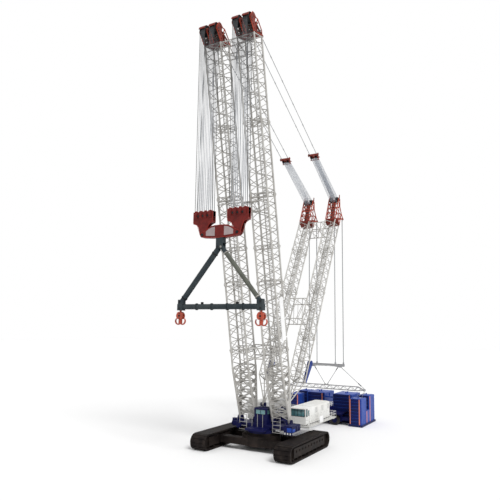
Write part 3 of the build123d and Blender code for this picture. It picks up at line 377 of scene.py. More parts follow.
lattice_grey = weathered("lattice_paint", (0.50, 0.49, 0.465), (0.27, 0.25, 0.225), 0.6, 0.42, 26, 0.1)
boom_place = Matrix.Translation(BOOM_FOOT) @ Matrix.Rotation(BOOM_LEAN, 4, "Y")
boom_at = {side: Matrix.Translation((0, s * BOOM_Y, 0)) @ boom_place for side, s in SIDES}
for side, s in SIDES:
    bm = bmesh.new()
    laced(bm, BOOM_LOW, BOOM_HIGH, BOOM_ACROSS, BOOM_DEEP, BOOM_BAYS, BOOM_CHORD, BOOM_LACE)
    pinned_joints(bm, BOOM_JOINTS, JOINT_STEP, BOOM_ACROSS, BOOM_DEEP, BOOM_CHORD, BOOM_LACE)
    for z in (BOOM_LOW, BOOM_HIGH - 0.01):
        frame_ring(bm, z, BOOM_ACROSS, BOOM_DEEP, BOOM_LACE * 1.3)
    boom_foot(bm)
    piece(f"boom_{side}_lattice", bm, lattice_grey, "boom", (f"boom_{side}",), boom_at[side])


# A walkway of expanded metal with a ladder beside it runs up inside the front of
# each boom, for the fitter who greases the sheaves. Both are welded from bar and
# clamped to the lacing.
LADDER_WIDE = 0.06
LADDER_FRONT, LADDER_SIDE = 0.026, 0.055
RUNG_STEP = 0.07
RUNG_START = 0.03
WALK_WIDE = 0.07
WALK_BACK = 0.185

ladder_x = BOOM_DEEP / 2 - LADDER_FRONT
ladder_y = BOOM_ACROSS / 2 - LADDER_SIDE
walk_x = ladder_x - WALK_BACK
boom_middle, boom_half = (BOOM_LOW + BOOM_HIGH) / 2, (BOOM_HIGH - BOOM_LOW) / 2
for side, s in SIDES:
    bm = bmesh.new()
    for edge in (-0.5, 0.5):
        block(bm, (ladder_x, ladder_y + edge * LADDER_WIDE, boom_middle), (0.006, 0.0025, boom_half))
        block(bm, (walk_x, edge * WALK_WIDE, boom_middle), (0.005, 0.002, boom_half))
    for k in range(int((BOOM_HIGH - BOOM_LOW) / RUNG_STEP)):
        z = BOOM_LOW + RUNG_START + k * RUNG_STEP
        pin(bm, (ladder_x, ladder_y, z), LADDER_WIDE / 2, 0.0032, 5)
        pin(bm, (walk_x, 0, z), WALK_WIDE / 2, 0.0036, 5)
        tube(bm, (walk_x, -WALK_WIDE / 2, z), (walk_x, WALK_WIDE / 2, z + RUNG_STEP), 0.0030, 5)
    piece(f"boom_{side}_ladder", bm, lattice_grey, "boom", (), boom_at[side])


# The cross trusses between the booms: light box lattices of steel tube, pinned to the
# inner chords, with a second flat beam across the front faces at mid height.
BOOM_TRUSSES = (
    # node, low and high station
    ("boom_truss_top", 6.19, 6.42),
    ("boom_truss_middle", 3.56, 3.73),
    ("boom_truss_low", 1.08, 1.26),
)
TRUSS_BAYS = 3
TRUSS_CHORD, TRUSS_LACE = 0.0105, 0.0068
FRONT_BEAM_HALF = 0.476
FRONT_BEAM_OVER = 0.012
FRONT_BEAM_BAYS = 14
FRONT_BEAM_OUT = 0.0225


def cross_truss(bm, reach, low, high, deep, bays, chord, lace, x=0.0):
    """A box lattice laid across the crane between two heights."""
    laced(bm, -reach, reach, high - low, deep, bays, chord, lace)
    lay = Matrix.Translation((x, 0, (low + high) / 2)) @ Matrix.Rotation(math.radians(-90), 4, "X")
    bmesh.ops.transform(bm, matrix=lay, verts=bm.verts)


def front_beam(bm, low, high):
    """The flat laced beam across the front faces of both booms, on four short stubs."""
    x = BOOM_DEEP / 2 + FRONT_BEAM_OUT
    pitch = 2 * FRONT_BEAM_HALF / FRONT_BEAM_BAYS
    for z in (low, high):
        pin(bm, (x, 0, z), FRONT_BEAM_HALF + FRONT_BEAM_OVER, 0.0085, 10)
    for k in range(FRONT_BEAM_BAYS):
        y = -FRONT_BEAM_HALF + k * pitch
        z0, z1 = (low, high) if k % 2 == 0 else (high, low)
        tube(bm, (x, y, z0), (x, y + pitch, z1), 0.0045, 6)
    for y in (-FRONT_BEAM_HALF, 0.0, FRONT_BEAM_HALF):
        tube(bm, (x, y, low), (x, y, high), 0.006, 6)
    for y in (-0.07, 0.07):
        for z in (low, high):
            tube(bm, (BOOM_DEEP / 2, y, z), (x, y, z), 0.007, 8)


for node, low, high in BOOM_TRUSSES:
    bm = bmesh.new()
    reach = BOOM_Y - BOOM_ACROSS / 2 - 0.0135
    cross_truss(bm, reach, low, high, BOOM_DEEP, TRUSS_BAYS, TRUSS_CHORD, TRUSS_LACE)
    if node == "boom_truss_middle":
        front_beam(bm, low, high)
    piece(node + "_lattice", bm, lattice_grey, "boom", (node,), boom_place)


# The sign panel on the left boom is a bare sheet, painted white, on three cross rails
# that are clamped to the chords.
sign_white = weathered("sign_paint", (0.86, 0.86, 0.86), (0.55, 0.54, 0.52), 0.22, 0.35, 14, 0.04)
repaint("sign_panel", sign_white)


# The boom heads: welded red-brown plates and bent pipes round two packs of sheaves, open
# low down at the sides, with sheet covers over the sheaves and triangular rear arms of
# plate and pipe for the stays.
HEAD_SHAFT = (0.196, 6.643)
HEAD_HALF = 0.165
HEAD_PLATES = (-HEAD_HALF, -0.030, 0.030, HEAD_HALF)
HEAD_FRONT = ((0.1465, 6.446), (0.236, 6.618), (0.226, 6.679))
HEAD_BACK = ((0.062, 6.690), (0.095, 6.600), (0.052, 6.446))
PEAK_OUTER, PEAK_INNER = 6.7575, 6.673
HEAD_BOSSES = ((0.110, 6.500), (0.150, 6.560), (0.110, 6.690))
HEAD_FRAME = (
    # x and z of both ends of each pipe in an outer side frame
    ((0.096, 6.750), (0.040, 6.690)), ((0.040, 6.690), (-0.020, 6.684)), ((-0.020, 6.684), (-0.132, 6.530)),
    ((-0.132, 6.530), (-0.132, 6.446)), ((-0.020, 6.684), (0.060, 6.560)), ((0.052, 6.450), (-0.125, 6.450)),
)
HEAD_WEBS = (((-0.125, 6.450), (0.060, 6.620)), ((0.052, 6.450), (-0.125, 6.540)))
HEAD_BEAMS = ((-0.137, 6.450), (0.137, 6.450), (0.020, 6.450), (-0.020, 6.620), (0.140, 6.510))
PACKS = (-0.0975, 0.0975)
PACK_HALF = 0.062
SHEAVE_R = 0.085
SHEAVE_WIDE = 0.0185
COVER_R = 0.092
COVER_FROM, COVER_TO = 24, 204
COVER_OUT = 1.05
ARM_Y = 0.090
ARM_END = (-0.290, 6.500)
ARM_PIPES = (
    ((-0.132, 6.452), (-0.292, 6.488)), ((-0.132, 6.452), (-0.100, 6.640)),
    ((-0.132, 6.452), (-0.200, 6.580)), ((-0.040, 6.682), (-0.132, 6.452)),
)
ARM_CROSS = ((-0.085, 6.655), (-0.132, 6.456), (-0.215, 6.570), (-0.210, 6.478))


def pipe_run(bm, points, radius, sides=8):
    """Straight bars from each point to the next."""
    for start, end in zip(points, points[1:]):
        tube(bm, start, end, radius, sides)


def pipe_frame(bm, pairs, y, radius):
    """Straight pipes in an upright plane along the crane, by x and z of their ends."""
    for (xa, za), (xb, zb) in pairs:
        tube(bm, (xa, y, za), (xb, y, zb), radius, 8)


def sheave_cover(bm, pack):
    """The curved sheet over one pack of sheaves, with a stiffening strip along its front."""
    shaft_x, shaft_z = HEAD_SHAFT
    rim = [(shaft_x + COVER_R * math.cos(math.radians(a)), shaft_z + COVER_R * math.sin(math.radians(a)))
           for a in range(COVER_FROM, COVER_TO + 1, 15)]
    rim += [(shaft_x + (x - shaft_x) * COVER_OUT, shaft_z + (z - shaft_z) * COVER_OUT) for x, z in rim[::-1]]
    ring = [bm.verts.new((x, pack - PACK_HALF, z)) for x, z in rim]
    for k in range(len(rim) // 2 - 1):
        quad = bm.faces.new((ring[k], ring[k + 1], ring[-k - 2], ring[-k - 1]))
        made = bmesh.ops.extrude_face_region(bm, geom=[quad])["geom"]
        moved = [part for part in made if isinstance(part, bmesh.types.BMVert)]
        bmesh.ops.translate(bm, vec=(0, 2 * PACK_HALF, 0), verts=moved)
    block(bm, (shaft_x + 0.079, pack, 6.683), (0.007, PACK_HALF, 0.005), 0.002)


def rear_arm(bm):
    """The arm behind a head: two plates and pipes side by side, joined across, with the stays' pin."""
    end_x, end_z = ARM_END
    outline = [(-0.040, 6.682), (-0.072, 6.668), (end_x - 0.002, end_z + 0.026), (end_x - 0.024, end_z),
               (end_x, end_z - 0.024), (end_x + 0.050, end_z - 0.014), (-0.100, 6.640)]
    for y in (-ARM_Y, ARM_Y):
        upright(bm, outline, y, 0.008)
        pin(bm, (end_x, y, end_z), 0.008, 0.024, 24)
        pipe_frame(bm, ARM_PIPES, y, 0.0105)
    for x, z in ARM_CROSS:
        pin(bm, (x, 0, z), ARM_Y + 0.008, 0.009)
    for a in (-1, 1):
        tube(bm, (-0.085, -a * ARM_Y, 6.650), (-0.270, a * ARM_Y, 6.535), 0.0075, 8)
    for y in (-0.102, 0.102):
        pin(bm, (end_x, y, end_z), 0.003, 0.013, 16)
    pin(bm, (end_x, 0, end_z), 0.104, 0.0098, 16)


head_red = weathered("head_paint", (0.205, 0.032, 0.022), (0.085, 0.022, 0.016), 0.7, 0.4, 30, 0.15)
edge_red = weathered("edge_paint", (0.38, 0.058, 0.032), (0.20, 0.036, 0.022), 0.5, 0.4, 40, 0.1)
web_grey = weathered("web_steel", (0.075, 0.062, 0.058), (0.030, 0.026, 0.025), 0.6, 0.5, 40, 0.12)
# This near-black finish also serves as painted shade in the hook blocks' slot and between their sheave
# covers.
sheave_black_and_gap_shade = weathered("sheave_steel_and_gap_shade", (0.012, 0.012, 0.014), (0.07, 0.065, 0.06), 0.35, 0.38, 60, 0.1)
for side, s in SIDES:
    plates, edges, webs = bmesh.new(), bmesh.new(), bmesh.new()
    for y in HEAD_PLATES:
        outer = abs(y) == HEAD_HALF
        peak = PEAK_OUTER if outer else PEAK_INNER
        front = [*HEAD_FRONT, (0.140, peak)]
        upright(plates, front + [(0.096, peak - 0.004), *HEAD_BACK], y, 0.006)
        pipe_run(edges, [(x - 0.002, y, z) for x, z in front], 0.0078)
        if outer:
            pipe_frame(edges, HEAD_FRAME, y, 0.0085)
            pipe_frame(webs, HEAD_WEBS, y, 0.0065)
        for x, z in HEAD_BOSSES:
            pin(plates, (x, y, z), 0.012, 0.012, 12)
        pin(plates, (HEAD_SHAFT[0], y, HEAD_SHAFT[1]), 0.016, 0.044, 24)
    for pack in PACKS:
        sheave_cover(plates, pack)
        for k in range(3):
            z = 6.470 + k * 0.040
            pin(webs, (0.140 + (z - 6.446) * 0.5, pack, z), PACK_HALF, 0.0065, 6)
        for a in (-1, 1):
            tube(webs, (0.146, pack - a * 0.060, 6.456), (0.196, pack + a * 0.060, 6.556), 0.006, 6)
        block(webs, (0.059, pack, 6.535), (0.004, 0.060, 0.065), 0.002)
    rear_arm(plates)
    for x, z in HEAD_BEAMS:
        block(plates, (x, 0, z), (0.009, HEAD_HALF, 0.009), 0.002)
    block(plates, (0, 0, 6.446), (0.1465, HEAD_HALF, 0.005), 0.001)
    stands = ("boom_heads",) if s > 0 else ()
    piece(f"boom_head_{side}_plates", plates, head_red, "boom", stands, boom_at[side])
    piece(f"boom_head_{side}_edges", edges, edge_red, "boom", (), boom_at[side])
    piece(f"boom_head_{side}_webs", webs, web_grey, "boom", (), boom_at[side])


# The head sheaves: turned steel rope wheels with a groove and a thin web, greased dark,
# five a pack and two packs a boom, on one shaft across each head.
SHEAVE_STEP = 0.0205
SHAFT_HALF = 0.182


def sheaves(bm, centre, radius, wide, places, bore, steps=40):
    """Grooved rope wheels on an axis across the crane, one at each place."""
    groove = radius - 0.011
    half = [(bore, 0.5), (bore * 1.5, 0.5), (bore * 1.6, 0.2), (groove - 0.012, 0.2), (groove - 0.006, 0.46),
            (radius, 0.46), (groove, 0.12)]
    profile = [(r, -w * wide) for r, w in half] + [(r, w * wide) for r, w in half[::-1]]
    for y in places:
        ring = [bm.verts.new((centre[0] + r, y + w, centre[1])) for r, w in profile]
        edges = [bm.edges.new((ring[k], ring[(k + 1) % len(ring)])) for k in range(len(ring))]
        bmesh.ops.spin(bm, geom=ring + edges, cent=(centre[0], y, centre[1]), axis=(0, 1, 0),
                       angle=math.tau, steps=steps, use_merge=True, use_duplicate=False)


bm = bmesh.new()
rope_lines = []
for boom_y in BOOMS:
    places = [boom_y + pack + (k - 2) * SHEAVE_STEP for pack in PACKS for k in range(5)]
    rope_lines.append(places)
    sheaves(bm, HEAD_SHAFT, SHEAVE_R, SHEAVE_WIDE, places, 0.017)
    pin(bm, (HEAD_SHAFT[0], boom_y, HEAD_SHAFT[1]), SHAFT_HALF, 0.016, 20)
piece("head_sheaves_grooved", bm, sheave_black_and_gap_shade, "head_sheaves", ("head_sheaves",),
      boom_place, 1e-5)


# The hoist ropes: ten sheaves a boom, so ten falls in front and ten behind, of pale
# stranded steel wire, kept taut down to the hook blocks. Grease darkens their upper ends
# and the outermost falls.
FALL_END_Z = 3.800
FALL_HALF = 0.030
FALL_STEP = 0.0365
ROPE_R = 0.0046
ROPE_SIDES = 5
FALL_STEPS = 24
FALLS = 10
GREASE_FROM, GREASE_TO = 5.3, 6.6
GREASE_MOST = 0.85


def grown(bm, edges):
    """Extrude a ring of edges in place: its new corners and its new ring."""
    made = bmesh.ops.extrude_edge_only(bm, edges=edges)["geom"]
    corners = [part for part in made if isinstance(part, bmesh.types.BMVert)]
    ring = [part for part in made if isinstance(part, bmesh.types.BMEdge)
            and all(v in corners for v in part.verts)]
    return corners, ring


wire_rope = weathered("wire_rope", (0.46, 0.475, 0.50), (0.20, 0.21, 0.23), 0.5, 0.45, 90, 0.5, 0.3)
greased_rope = weathered("greased_rope", (0.060, 0.062, 0.066), (0.025, 0.026, 0.028),
                         0.5, 0.45, 90, 0.5, 0.3)
rope_nodes, rope_links = wire_rope.node_tree.nodes, wire_rope.node_tree.links
height = rope_nodes.new("ShaderNodeSeparateXYZ")
rope_place = next(n for n in rope_nodes if n.bl_idname == "ShaderNodeTexCoord")
rope_links.new(rope_place.outputs["Object"], height.inputs[0])
grease = ranged(rope_nodes, rope_links, height.outputs["Z"], GREASE_FROM, GREASE_TO, 0, GREASE_MOST)
smear = rope_nodes.new("ShaderNodeMix")
smear.data_type = "RGBA"
smear.inputs["B"].default_value = (0.045, 0.046, 0.050, 1)
rope_shader = rope_nodes["Principled BSDF"]
rope_links.new(rope_shader.inputs["Base Color"].links[0].from_socket, smear.inputs["A"])
rope_links.new(grease, smear.inputs["Factor"])
rope_links.new(smear.outputs["Result"], rope_shader.inputs["Base Color"])
shaft = boom_place @ Vector((HEAD_SHAFT[0], 0, HEAD_SHAFT[1]))
for name, finish, kept in (("hoist_falls", wire_rope, range(1, FALLS - 1)),
                           ("hoist_falls_outer", greased_rope, (0, FALLS - 1))):
    bm = bmesh.new()
    for places in rope_lines:
        middle = sum(places) / len(places)
        for k in kept:
            low_y = middle + (k - (FALLS - 1) / 2) * FALL_STEP
            for s in (-1, 1):
                top = Vector((shaft.x + s * (SHEAVE_R - 0.008), places[k], shaft.z))
                low = Vector((shaft.x + s * FALL_HALF, low_y, FALL_END_Z))
                start = bmesh.ops.create_circle(bm, cap_ends=False, segments=ROPE_SIDES, radius=ROPE_R,
                                                matrix=Matrix.Translation(top))["verts"]
                ring = list({e for v in start for e in v.link_edges})
                for step in range(FALL_STEPS):
                    corners, ring = grown(bm, ring)
                    bmesh.ops.translate(bm, vec=(low - top) / FALL_STEPS, verts=corners)
    for face in bm.faces:
        face.smooth = True
    bmesh.ops.recalc_face_normals(bm, faces=bm.faces)
    falls = linked(name, bm, finish)
    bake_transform(falls)


# The hook blocks: arched cheek plates of red-brown steel with welded edge beads round
# four sheaves a side, the beads painted a brighter red as a painted highlight. Two crowned
# outer plates carry bare pale panels and hold the big pins under both blocks.
HOOK_X = shaft.x
BLOCK_HALF = 0.185
BLOCK_FACE = 0.040
BLOCK_EDGE = ((-0.185, 3.826), (-0.185, 3.652), (-0.109, 3.608), (-0.070, 3.514), (-0.050, 3.450))
BLOCK_ARCHES = (-0.72, -0.24, 0.24, 0.72)
ARCH_R, ARCH_Z = 0.040, 3.80
ROLL_R, ROLL_Z = 0.0672, 3.764
PLATE_FACE = 0.0415
PLATE_THICK = 0.007
BEAM_EDGE = (
    # y and z along the crowned plate's right half, from the middle of its top to that of its bottom
    (0.0, 3.584), (0.090, 3.582), (0.150, 3.572), (0.218, 3.540), (0.280, 3.503), (0.320, 3.490),
    (0.352, 3.474), (0.360, 3.450), (0.352, 3.426), (0.320, 3.410), (0.160, 3.3955), (0.0, 3.391),
)
PANEL_EDGE = ((0.085, 3.418), (0.250, 3.430), (0.250, 3.500), (0.200, 3.532), (0.150, 3.553), (0.085, 3.562))
BIG_PIN_Z, GAP_SHADE_Z = 3.45, 3.757

hook_red = weathered("hook_paint", (0.165, 0.021, 0.018), (0.055, 0.012, 0.012), 0.75, 0.36, 52, 0.15)
hook_edge_highlight = weathered("hook_edge_highlight", (0.30, 0.032, 0.024), (0.14, 0.020, 0.017), 0.5, 0.36, 40, 0.12)
pale_panel_and_lit_side = weathered("bare_panel_and_painted_light", (0.36, 0.29, 0.29), (0.24, 0.19, 0.19), 0.5, 0.5, 60, 0.08)
repaint("hook_blocks", hook_red)
# The edge beads and arches: painted a brighter red than the plates, a painted highlight along the edges.
bm = bmesh.new()
for x in (-1, 1):
    face = HOOK_X + x * BLOCK_FACE
    for boom_y in BOOMS:
        for s in (-1, 1):
            pipe_run(bm, [(face, boom_y + s * y, z) for y, z in BLOCK_EDGE], 0.0042, 6)
        for k in BLOCK_ARCHES:
            turns = [math.radians(a) for a in range(20, 161, 20)]
            arch_y = boom_y + k * BLOCK_HALF
            pipe_run(bm, [(face, arch_y + ARCH_R * math.cos(a), ARCH_Z + ARCH_R * math.sin(a))
                          for a in turns], 0.0042, 6)
    face = HOOK_X + x * (PLATE_FACE + PLATE_THICK)
    for s in (-1, 1):
        pipe_run(bm, [(face, s * y, z) for y, z in BEAM_EDGE], 0.0046, 6)
piece("hook_block_edges_painted_highlight", bm, hook_edge_highlight, "hook_tackle")

bm = bmesh.new()
rim = list(BEAM_EDGE) + [(-y, z) for y, z in BEAM_EDGE[-2:0:-1]]
for x in (-1, 1):
    face = HOOK_X + x * PLATE_FACE
    sheet_of(bm, [(face, y, z) for y, z in (rim if x < 0 else rim[::-1])], (x * PLATE_THICK, 0, 0))
for boom_y in BOOMS:
    for x in (-1, 1):
        face = HOOK_X + x * BLOCK_FACE
        block(bm, (face, boom_y, 3.696), (0.003, BLOCK_HALF - 0.006, 0.006), 0.0015)
        for y in (-0.075, 0.075):
            block(bm, (face, boom_y + y, 3.645), (0.004, 0.005, 0.045), 0.0015)
    for k in BLOCK_ARCHES:
        for a in range(-60, 61, 30):
            x, z = ROLL_R * math.cos(math.radians(a)), ROLL_Z + ROLL_R * math.sin(math.radians(a))
            for side in (-1, 1):
                block(bm, (HOOK_X + side * x, boom_y + k * BLOCK_HALF, z), (0.002, 0.019, 0.002), 0.0008)
piece("hook_block_plates", bm, hook_red, "hook_tackle")

bm = bmesh.new()
for x in (-1, 1):
    face = HOOK_X + x * (PLATE_FACE + PLATE_THICK + 0.0002)
    for s in (-1, 1):
        outline = [(face, s * y, z) for y, z in PANEL_EDGE]
        sheet_of(bm, outline if s * x > 0 else outline[::-1], (x * 0.002, 0, 0))
    for boom_y in BOOMS:
        # A pale panel at the top of each block's left side only: painted light on the side the lamp falls on.
        block(bm, (HOOK_X, boom_y + BLOCK_HALF + 0.00075, 3.7805), (0.032, 0.00175, 0.0455), 0.001)
piece("hook_block_panels_and_painted_light", bm, pale_panel_and_lit_side, "hook_tackle")

bm = bmesh.new()
for boom_y in BOOMS:
    tube(bm, (HOOK_X - 0.062, boom_y, BIG_PIN_Z), (HOOK_X + 0.062, boom_y, BIG_PIN_Z), 0.022, 24)
    # A dark strip and three black discs across each face: painted shade for the recessed slot and the gaps
    # between the sheave covers.
    for x in (-1, 1):
        face = HOOK_X + x * (BLOCK_FACE + 0.001)
        block(bm, (face, boom_y, GAP_SHADE_Z), (0.002, 0.150, 0.005), 0.0008)
        for y in (-0.089, 0.0, 0.089):
            tube(bm, (face - 0.003, boom_y + y, GAP_SHADE_Z), (face + 0.010, boom_y + y, GAP_SHADE_Z), 0.019, 16)
piece("hook_block_pins_and_gap_shade", bm, sheave_black_and_gap_shade, "hook_tackle")


# The spreader: two round steel struts pinned to a swivelling apex block, over a long
# tube in bolted sections. It is dark slate, and the left strut is slimmer and faded to
# olive, with zinc-pale end fittings.
TUBE_Z = 2.325
TUBE_HALF = 0.735
TUBE_END = TUBE_HALF - 0.005
FLANGES = (-0.42, -0.14, 0.14, 0.42)
FLANGE_R = 0.048
FLANGE_BOLTS = 12
STRUT_TOP = (0.04, 3.222)
STRUT_LOW = (TUBE_HALF - 0.022, TUBE_Z + 0.078)
STRUT_COLLARS = (0.095, 0.925)
APEX_PIN = (0.03, 3.242)

slate = weathered("slate_paint", (0.026, 0.036, 0.042), (0.070, 0.080, 0.080), 0.6, 0.5, 34, 0.12)
olive = weathered("faded_paint", (0.115, 0.120, 0.100), (0.060, 0.063, 0.055), 0.7, 0.5, 40, 0.12)
joint_pale = weathered("joint_zinc", (0.30, 0.29, 0.27), (0.14, 0.13, 0.12), 0.6, 0.45, 50, 0.1, 0.3)
repaint("spreader", slate)
for (side, s), radius, finish, fitting in zip(SIDES, (0.034, 0.044), (olive, slate),
                                              (joint_pale, sheave_black_and_gap_shade)):
    bm = bmesh.new()
    top, low = (Vector((HOOK_X, s * y, z)) for y, z in (STRUT_TOP, STRUT_LOW))
    run = low - top
    tube(bm, top + run * 0.10, low - run * 0.06, radius + 0.0006, 32)
    piece(f"spreader_sleeve_{side}", bm, finish, "spreader")
    bm = bmesh.new()
    for k in STRUT_COLLARS:
        tube(bm, top + run * (k - 0.006), top + run * (k + 0.006), radius + 0.007, 24)
        for j in range(FLANGE_BOLTS):
            a = j * math.tau / FLANGE_BOLTS
            spoke = Vector((math.cos(a), 0, math.sin(a)))
            spoke = (spoke - run.normalized() * spoke.dot(run.normalized())).normalized() * (radius + 0.0035)
            tube(bm, top + run * (k - 0.010) + spoke, top + run * (k + 0.010) + spoke, 0.0028, 6)
    y, z = s * APEX_PIN[0], APEX_PIN[1]
    tube(bm, (HOOK_X - 0.052, y, z), (HOOK_X + 0.053, y, z), 0.017, 16)
    piece(f"spreader_joint_{side}", bm, fitting, "spreader")
bm = bmesh.new()
for y in FLANGES:
    for k in range(FLANGE_BOLTS):
        a = k * math.tau / FLANGE_BOLTS
        pin(bm, (HOOK_X + FLANGE_R * math.cos(a), y, TUBE_Z + FLANGE_R * math.sin(a)), 0.013, 0.0035, 6)
for s in (-1, 1):
    for z in (2.30, 2.405):
        tube(bm, (HOOK_X - 0.05, s * TUBE_END, z), (HOOK_X + 0.05, s * TUBE_END, z), 0.016, 16)
    block(bm, (HOOK_X, s * 0.32, TUBE_Z + 0.054), (0.012, 0.02, 0.018), 0.003)
piece("spreader_bolts", bm, sheave_black_and_gap_shade, "spreader")


# The two double hooks: each is forged in one piece with two horns that rise either side
# of its shank, is enamelled red, and turns on a ball race inside a crosshead block of
# two cheek plates held by dark pins.
HOOK_Z = TUBE_Z - 0.058
CHEEK_HALF = ((0.022, -0.022), (0.046, -0.040), (0.060, -0.074), (0.058, -0.104), (0.040, -0.136))
CHEEK_OUT, CHEEK_THICK = 0.038, 0.014
HORN_Z = HOOK_Z - 0.165
HORN_R = 0.028
HORN_CENTRE = 0.044
HORN_TURN = math.radians(15.5)
HORN_TAPER = 0.962
HORN_STEPS = 12
CHEEK_PINS = ((-0.046, 0.008), (-0.082, 0.016), (-0.120, 0.008))

horn_red = weathered("hook_enamel", (0.43, 0.062, 0.028), (0.16, 0.030, 0.020), 0.6, 0.33, 40, 0.12,
                     coat=0.15)
for side, s in SIDES:
    bm = bmesh.new()
    y = s * TUBE_END
    tube(bm, (HOOK_X, y, HOOK_Z - 0.06), (HOOK_X, y, HOOK_Z + 0.024), 0.018, 20)
    cheek = list(CHEEK_HALF) + [(-a, b) for a, b in CHEEK_HALF[::-1]]
    for x in (-1, 1):
        sheet_of(bm, [(HOOK_X + x * CHEEK_OUT, y + a, HOOK_Z + b) for a, b in cheek],
                 (-x * CHEEK_THICK, 0, 0))
    block(bm, (HOOK_X, y, HOOK_Z - 0.050), (0.034, 0.050, 0.012), 0.005)
    block(bm, (HOOK_X, y, HOOK_Z - 0.094), (0.034, 0.040, 0.012), 0.005)
    tube(bm, (HOOK_X, y, HOOK_Z - 0.17), (HOOK_X, y, HOOK_Z - 0.08), 0.030, 20)
    for h in (-1, 1):
        start = bmesh.ops.create_circle(bm, cap_ends=True, segments=14, radius=HORN_R,
                                        matrix=Matrix.Translation((HOOK_X, y, HORN_Z - 0.020))
                                        @ Matrix.Rotation(math.radians(90), 4, "X"))["verts"]
        ring = list({e for v in start for e in v.link_edges})
        for k in range(HORN_STEPS):
            corners, ring = grown(bm, ring)
            bmesh.ops.rotate(bm, cent=(HOOK_X, y + h * HORN_CENTRE, HORN_Z),
                             matrix=Matrix.Rotation(h * HORN_TURN, 3, "X"), verts=corners)
            middle = sum((v.co for v in corners), Vector()) / len(corners)
            bmesh.ops.scale(bm, vec=(HORN_TAPER,) * 3, space=Matrix.Translation(-middle), verts=corners)
        bmesh.ops.contextual_create(bm, geom=ring)
    block(bm, (HOOK_X, y, HORN_Z - 0.008), (0.024, 0.026, 0.038), 0.012)
    piece(f"ramshorn_{side}_forged", bm, horn_red, f"ramshorn_{side}", (f"ramshorn_{side}",))
    bm = bmesh.new()
    for b, r in CHEEK_PINS:
        tube(bm, (HOOK_X - 0.043, y, HOOK_Z + b), (HOOK_X + 0.043, y, HOOK_Z + b), r, 16)
    piece(f"ramshorn_{side}_pins", bm, sheave_black_and_gap_shade, f"ramshorn_{side}")


# The masts: a second pair of lattice columns of steel tube that rake back, each on a
# narrow foot that leans to its lug, with two walkways of welded bar inside and the
# blue frame of a small winch behind it.
MAST_FOOT = Vector((-0.498, 0.0, 0.642))
MAST_LEAN = math.radians(-29.5)
MAST_Y = 0.307
MASTS = (-MAST_Y, MAST_Y)
MAST_ACROSS = 0.221
MAST_DEEP = 0.233
MAST_LUG_Y = 0.24
MAST_LOW, MAST_HIGH = 0.52, 4.2
MAST_BAYS = 34
MAST_CHORD = 0.0120
MAST_LACE = 0.0058
MAST_JOINTS = (1.40, 2.45, 3.45)
MAST_JOINT_STEP = 0.026
FORK_X, FORK_Y, FORK_Z = 0.016, 0.011, 0.078
FORK_RINGS = (0.35, 0.65)


def mast_foot(bm, off):
    """Four tubes that close in on one lug, off to the inside, with cross bars front and rear."""
    half_y, half_x = MAST_ACROSS / 2, MAST_DEEP / 2
    frame_ring(bm, MAST_LOW, MAST_ACROSS, MAST_DEEP, MAST_LACE * 1.7)
    block(bm, (0, off, 0.059), (0.026, 0.022, 0.051), 0.004)
    pin(bm, (0, off, 0), 0.022, 0.028, 24)
    for sx in (-1, 1):
        for sy in (-1, 1):
            tube(bm, (sx * FORK_X, off + sy * FORK_Y, FORK_Z), (sx * half_x, sy * half_y, MAST_LOW - 0.004),
                 0.0105, 10)
        for k in FORK_RINGS:
            z = FORK_Z + (MAST_LOW - 0.082) * k
            x = sx * (FORK_X + (half_x - FORK_X) * k)
            ends = [off * (1 - k) + sy * (FORK_Y + (half_y - FORK_Y) * k) for sy in (-1, 1)]
            tube(bm, (x, ends[0], z), (x, ends[1], z), MAST_LACE, 6)


navy = weathered("navy_paint", (0.004, 0.005, 0.056), (0.012, 0.014, 0.046), 0.55, 0.36, 26, 0.1)
blue = weathered("blue_paint", (0.020, 0.050, 0.260), (0.014, 0.024, 0.100), 0.5, 0.35, 24, 0.1)
repaint("mast_winches", blue)
mast_place = Matrix.Translation(MAST_FOOT) @ Matrix.Rotation(MAST_LEAN, 4, "Y")
mast_at = {side: Matrix.Translation((0, s * MAST_Y, 0)) @ mast_place for side, s in SIDES}
for side, s in SIDES:
    bm = bmesh.new()
    laced(bm, MAST_LOW, MAST_HIGH, MAST_ACROSS, MAST_DEEP, MAST_BAYS, MAST_CHORD, MAST_LACE)
    pinned_joints(bm, MAST_JOINTS, MAST_JOINT_STEP, MAST_ACROSS, MAST_DEEP, MAST_CHORD, MAST_LACE)
    mast_foot(bm, s * (MAST_LUG_Y - MAST_Y))
    piece(f"mast_{side}_lattice", bm, lattice_grey, "mast", (f"mast_{side}",), mast_at[side])
    bm = bmesh.new()
    middle, half = (MAST_LOW + MAST_HIGH) / 2, (MAST_HIGH - MAST_LOW) / 2 - 0.02
    for x, y in ((MAST_DEEP / 2 - 0.030, 0.045), (-MAST_DEEP / 2 + 0.030, -0.020)):
        for edge in (-0.5, 0.5):
            block(bm, (x, y + edge * WALK_WIDE, middle), (0.005, 0.0022, half))
        for k in range(int((MAST_HIGH - MAST_LOW - 0.1) / RUNG_STEP)):
            z = MAST_LOW + 0.05 + k * RUNG_STEP
            pin(bm, (x, y, z), WALK_WIDE / 2, 0.0034, 5)
            tube(bm, (x, y - WALK_WIDE / 2, z), (x, y + WALK_WIDE / 2, z + RUNG_STEP * 0.8), 0.0026, 5)
    piece(f"mast_{side}_ladder", bm, lattice_grey, "mast", (), mast_at[side])


# The cross trusses between the masts: box lattices like those of the booms, pinned to
# the inner chords below the heads and at mid height.
MAST_TRUSSES = (("mast_truss_top", 3.9, 4.15), ("mast_truss_low", 1.72, 2.18))

for node, low, high in MAST_TRUSSES:
    bm = bmesh.new()
    cross_truss(bm, MAST_Y - MAST_ACROSS / 2 - 0.010, low, high, MAST_DEEP, 4, 0.0095, 0.0060)
    piece(node + "_lattice", bm, lattice_grey, "mast", (node,), mast_place)


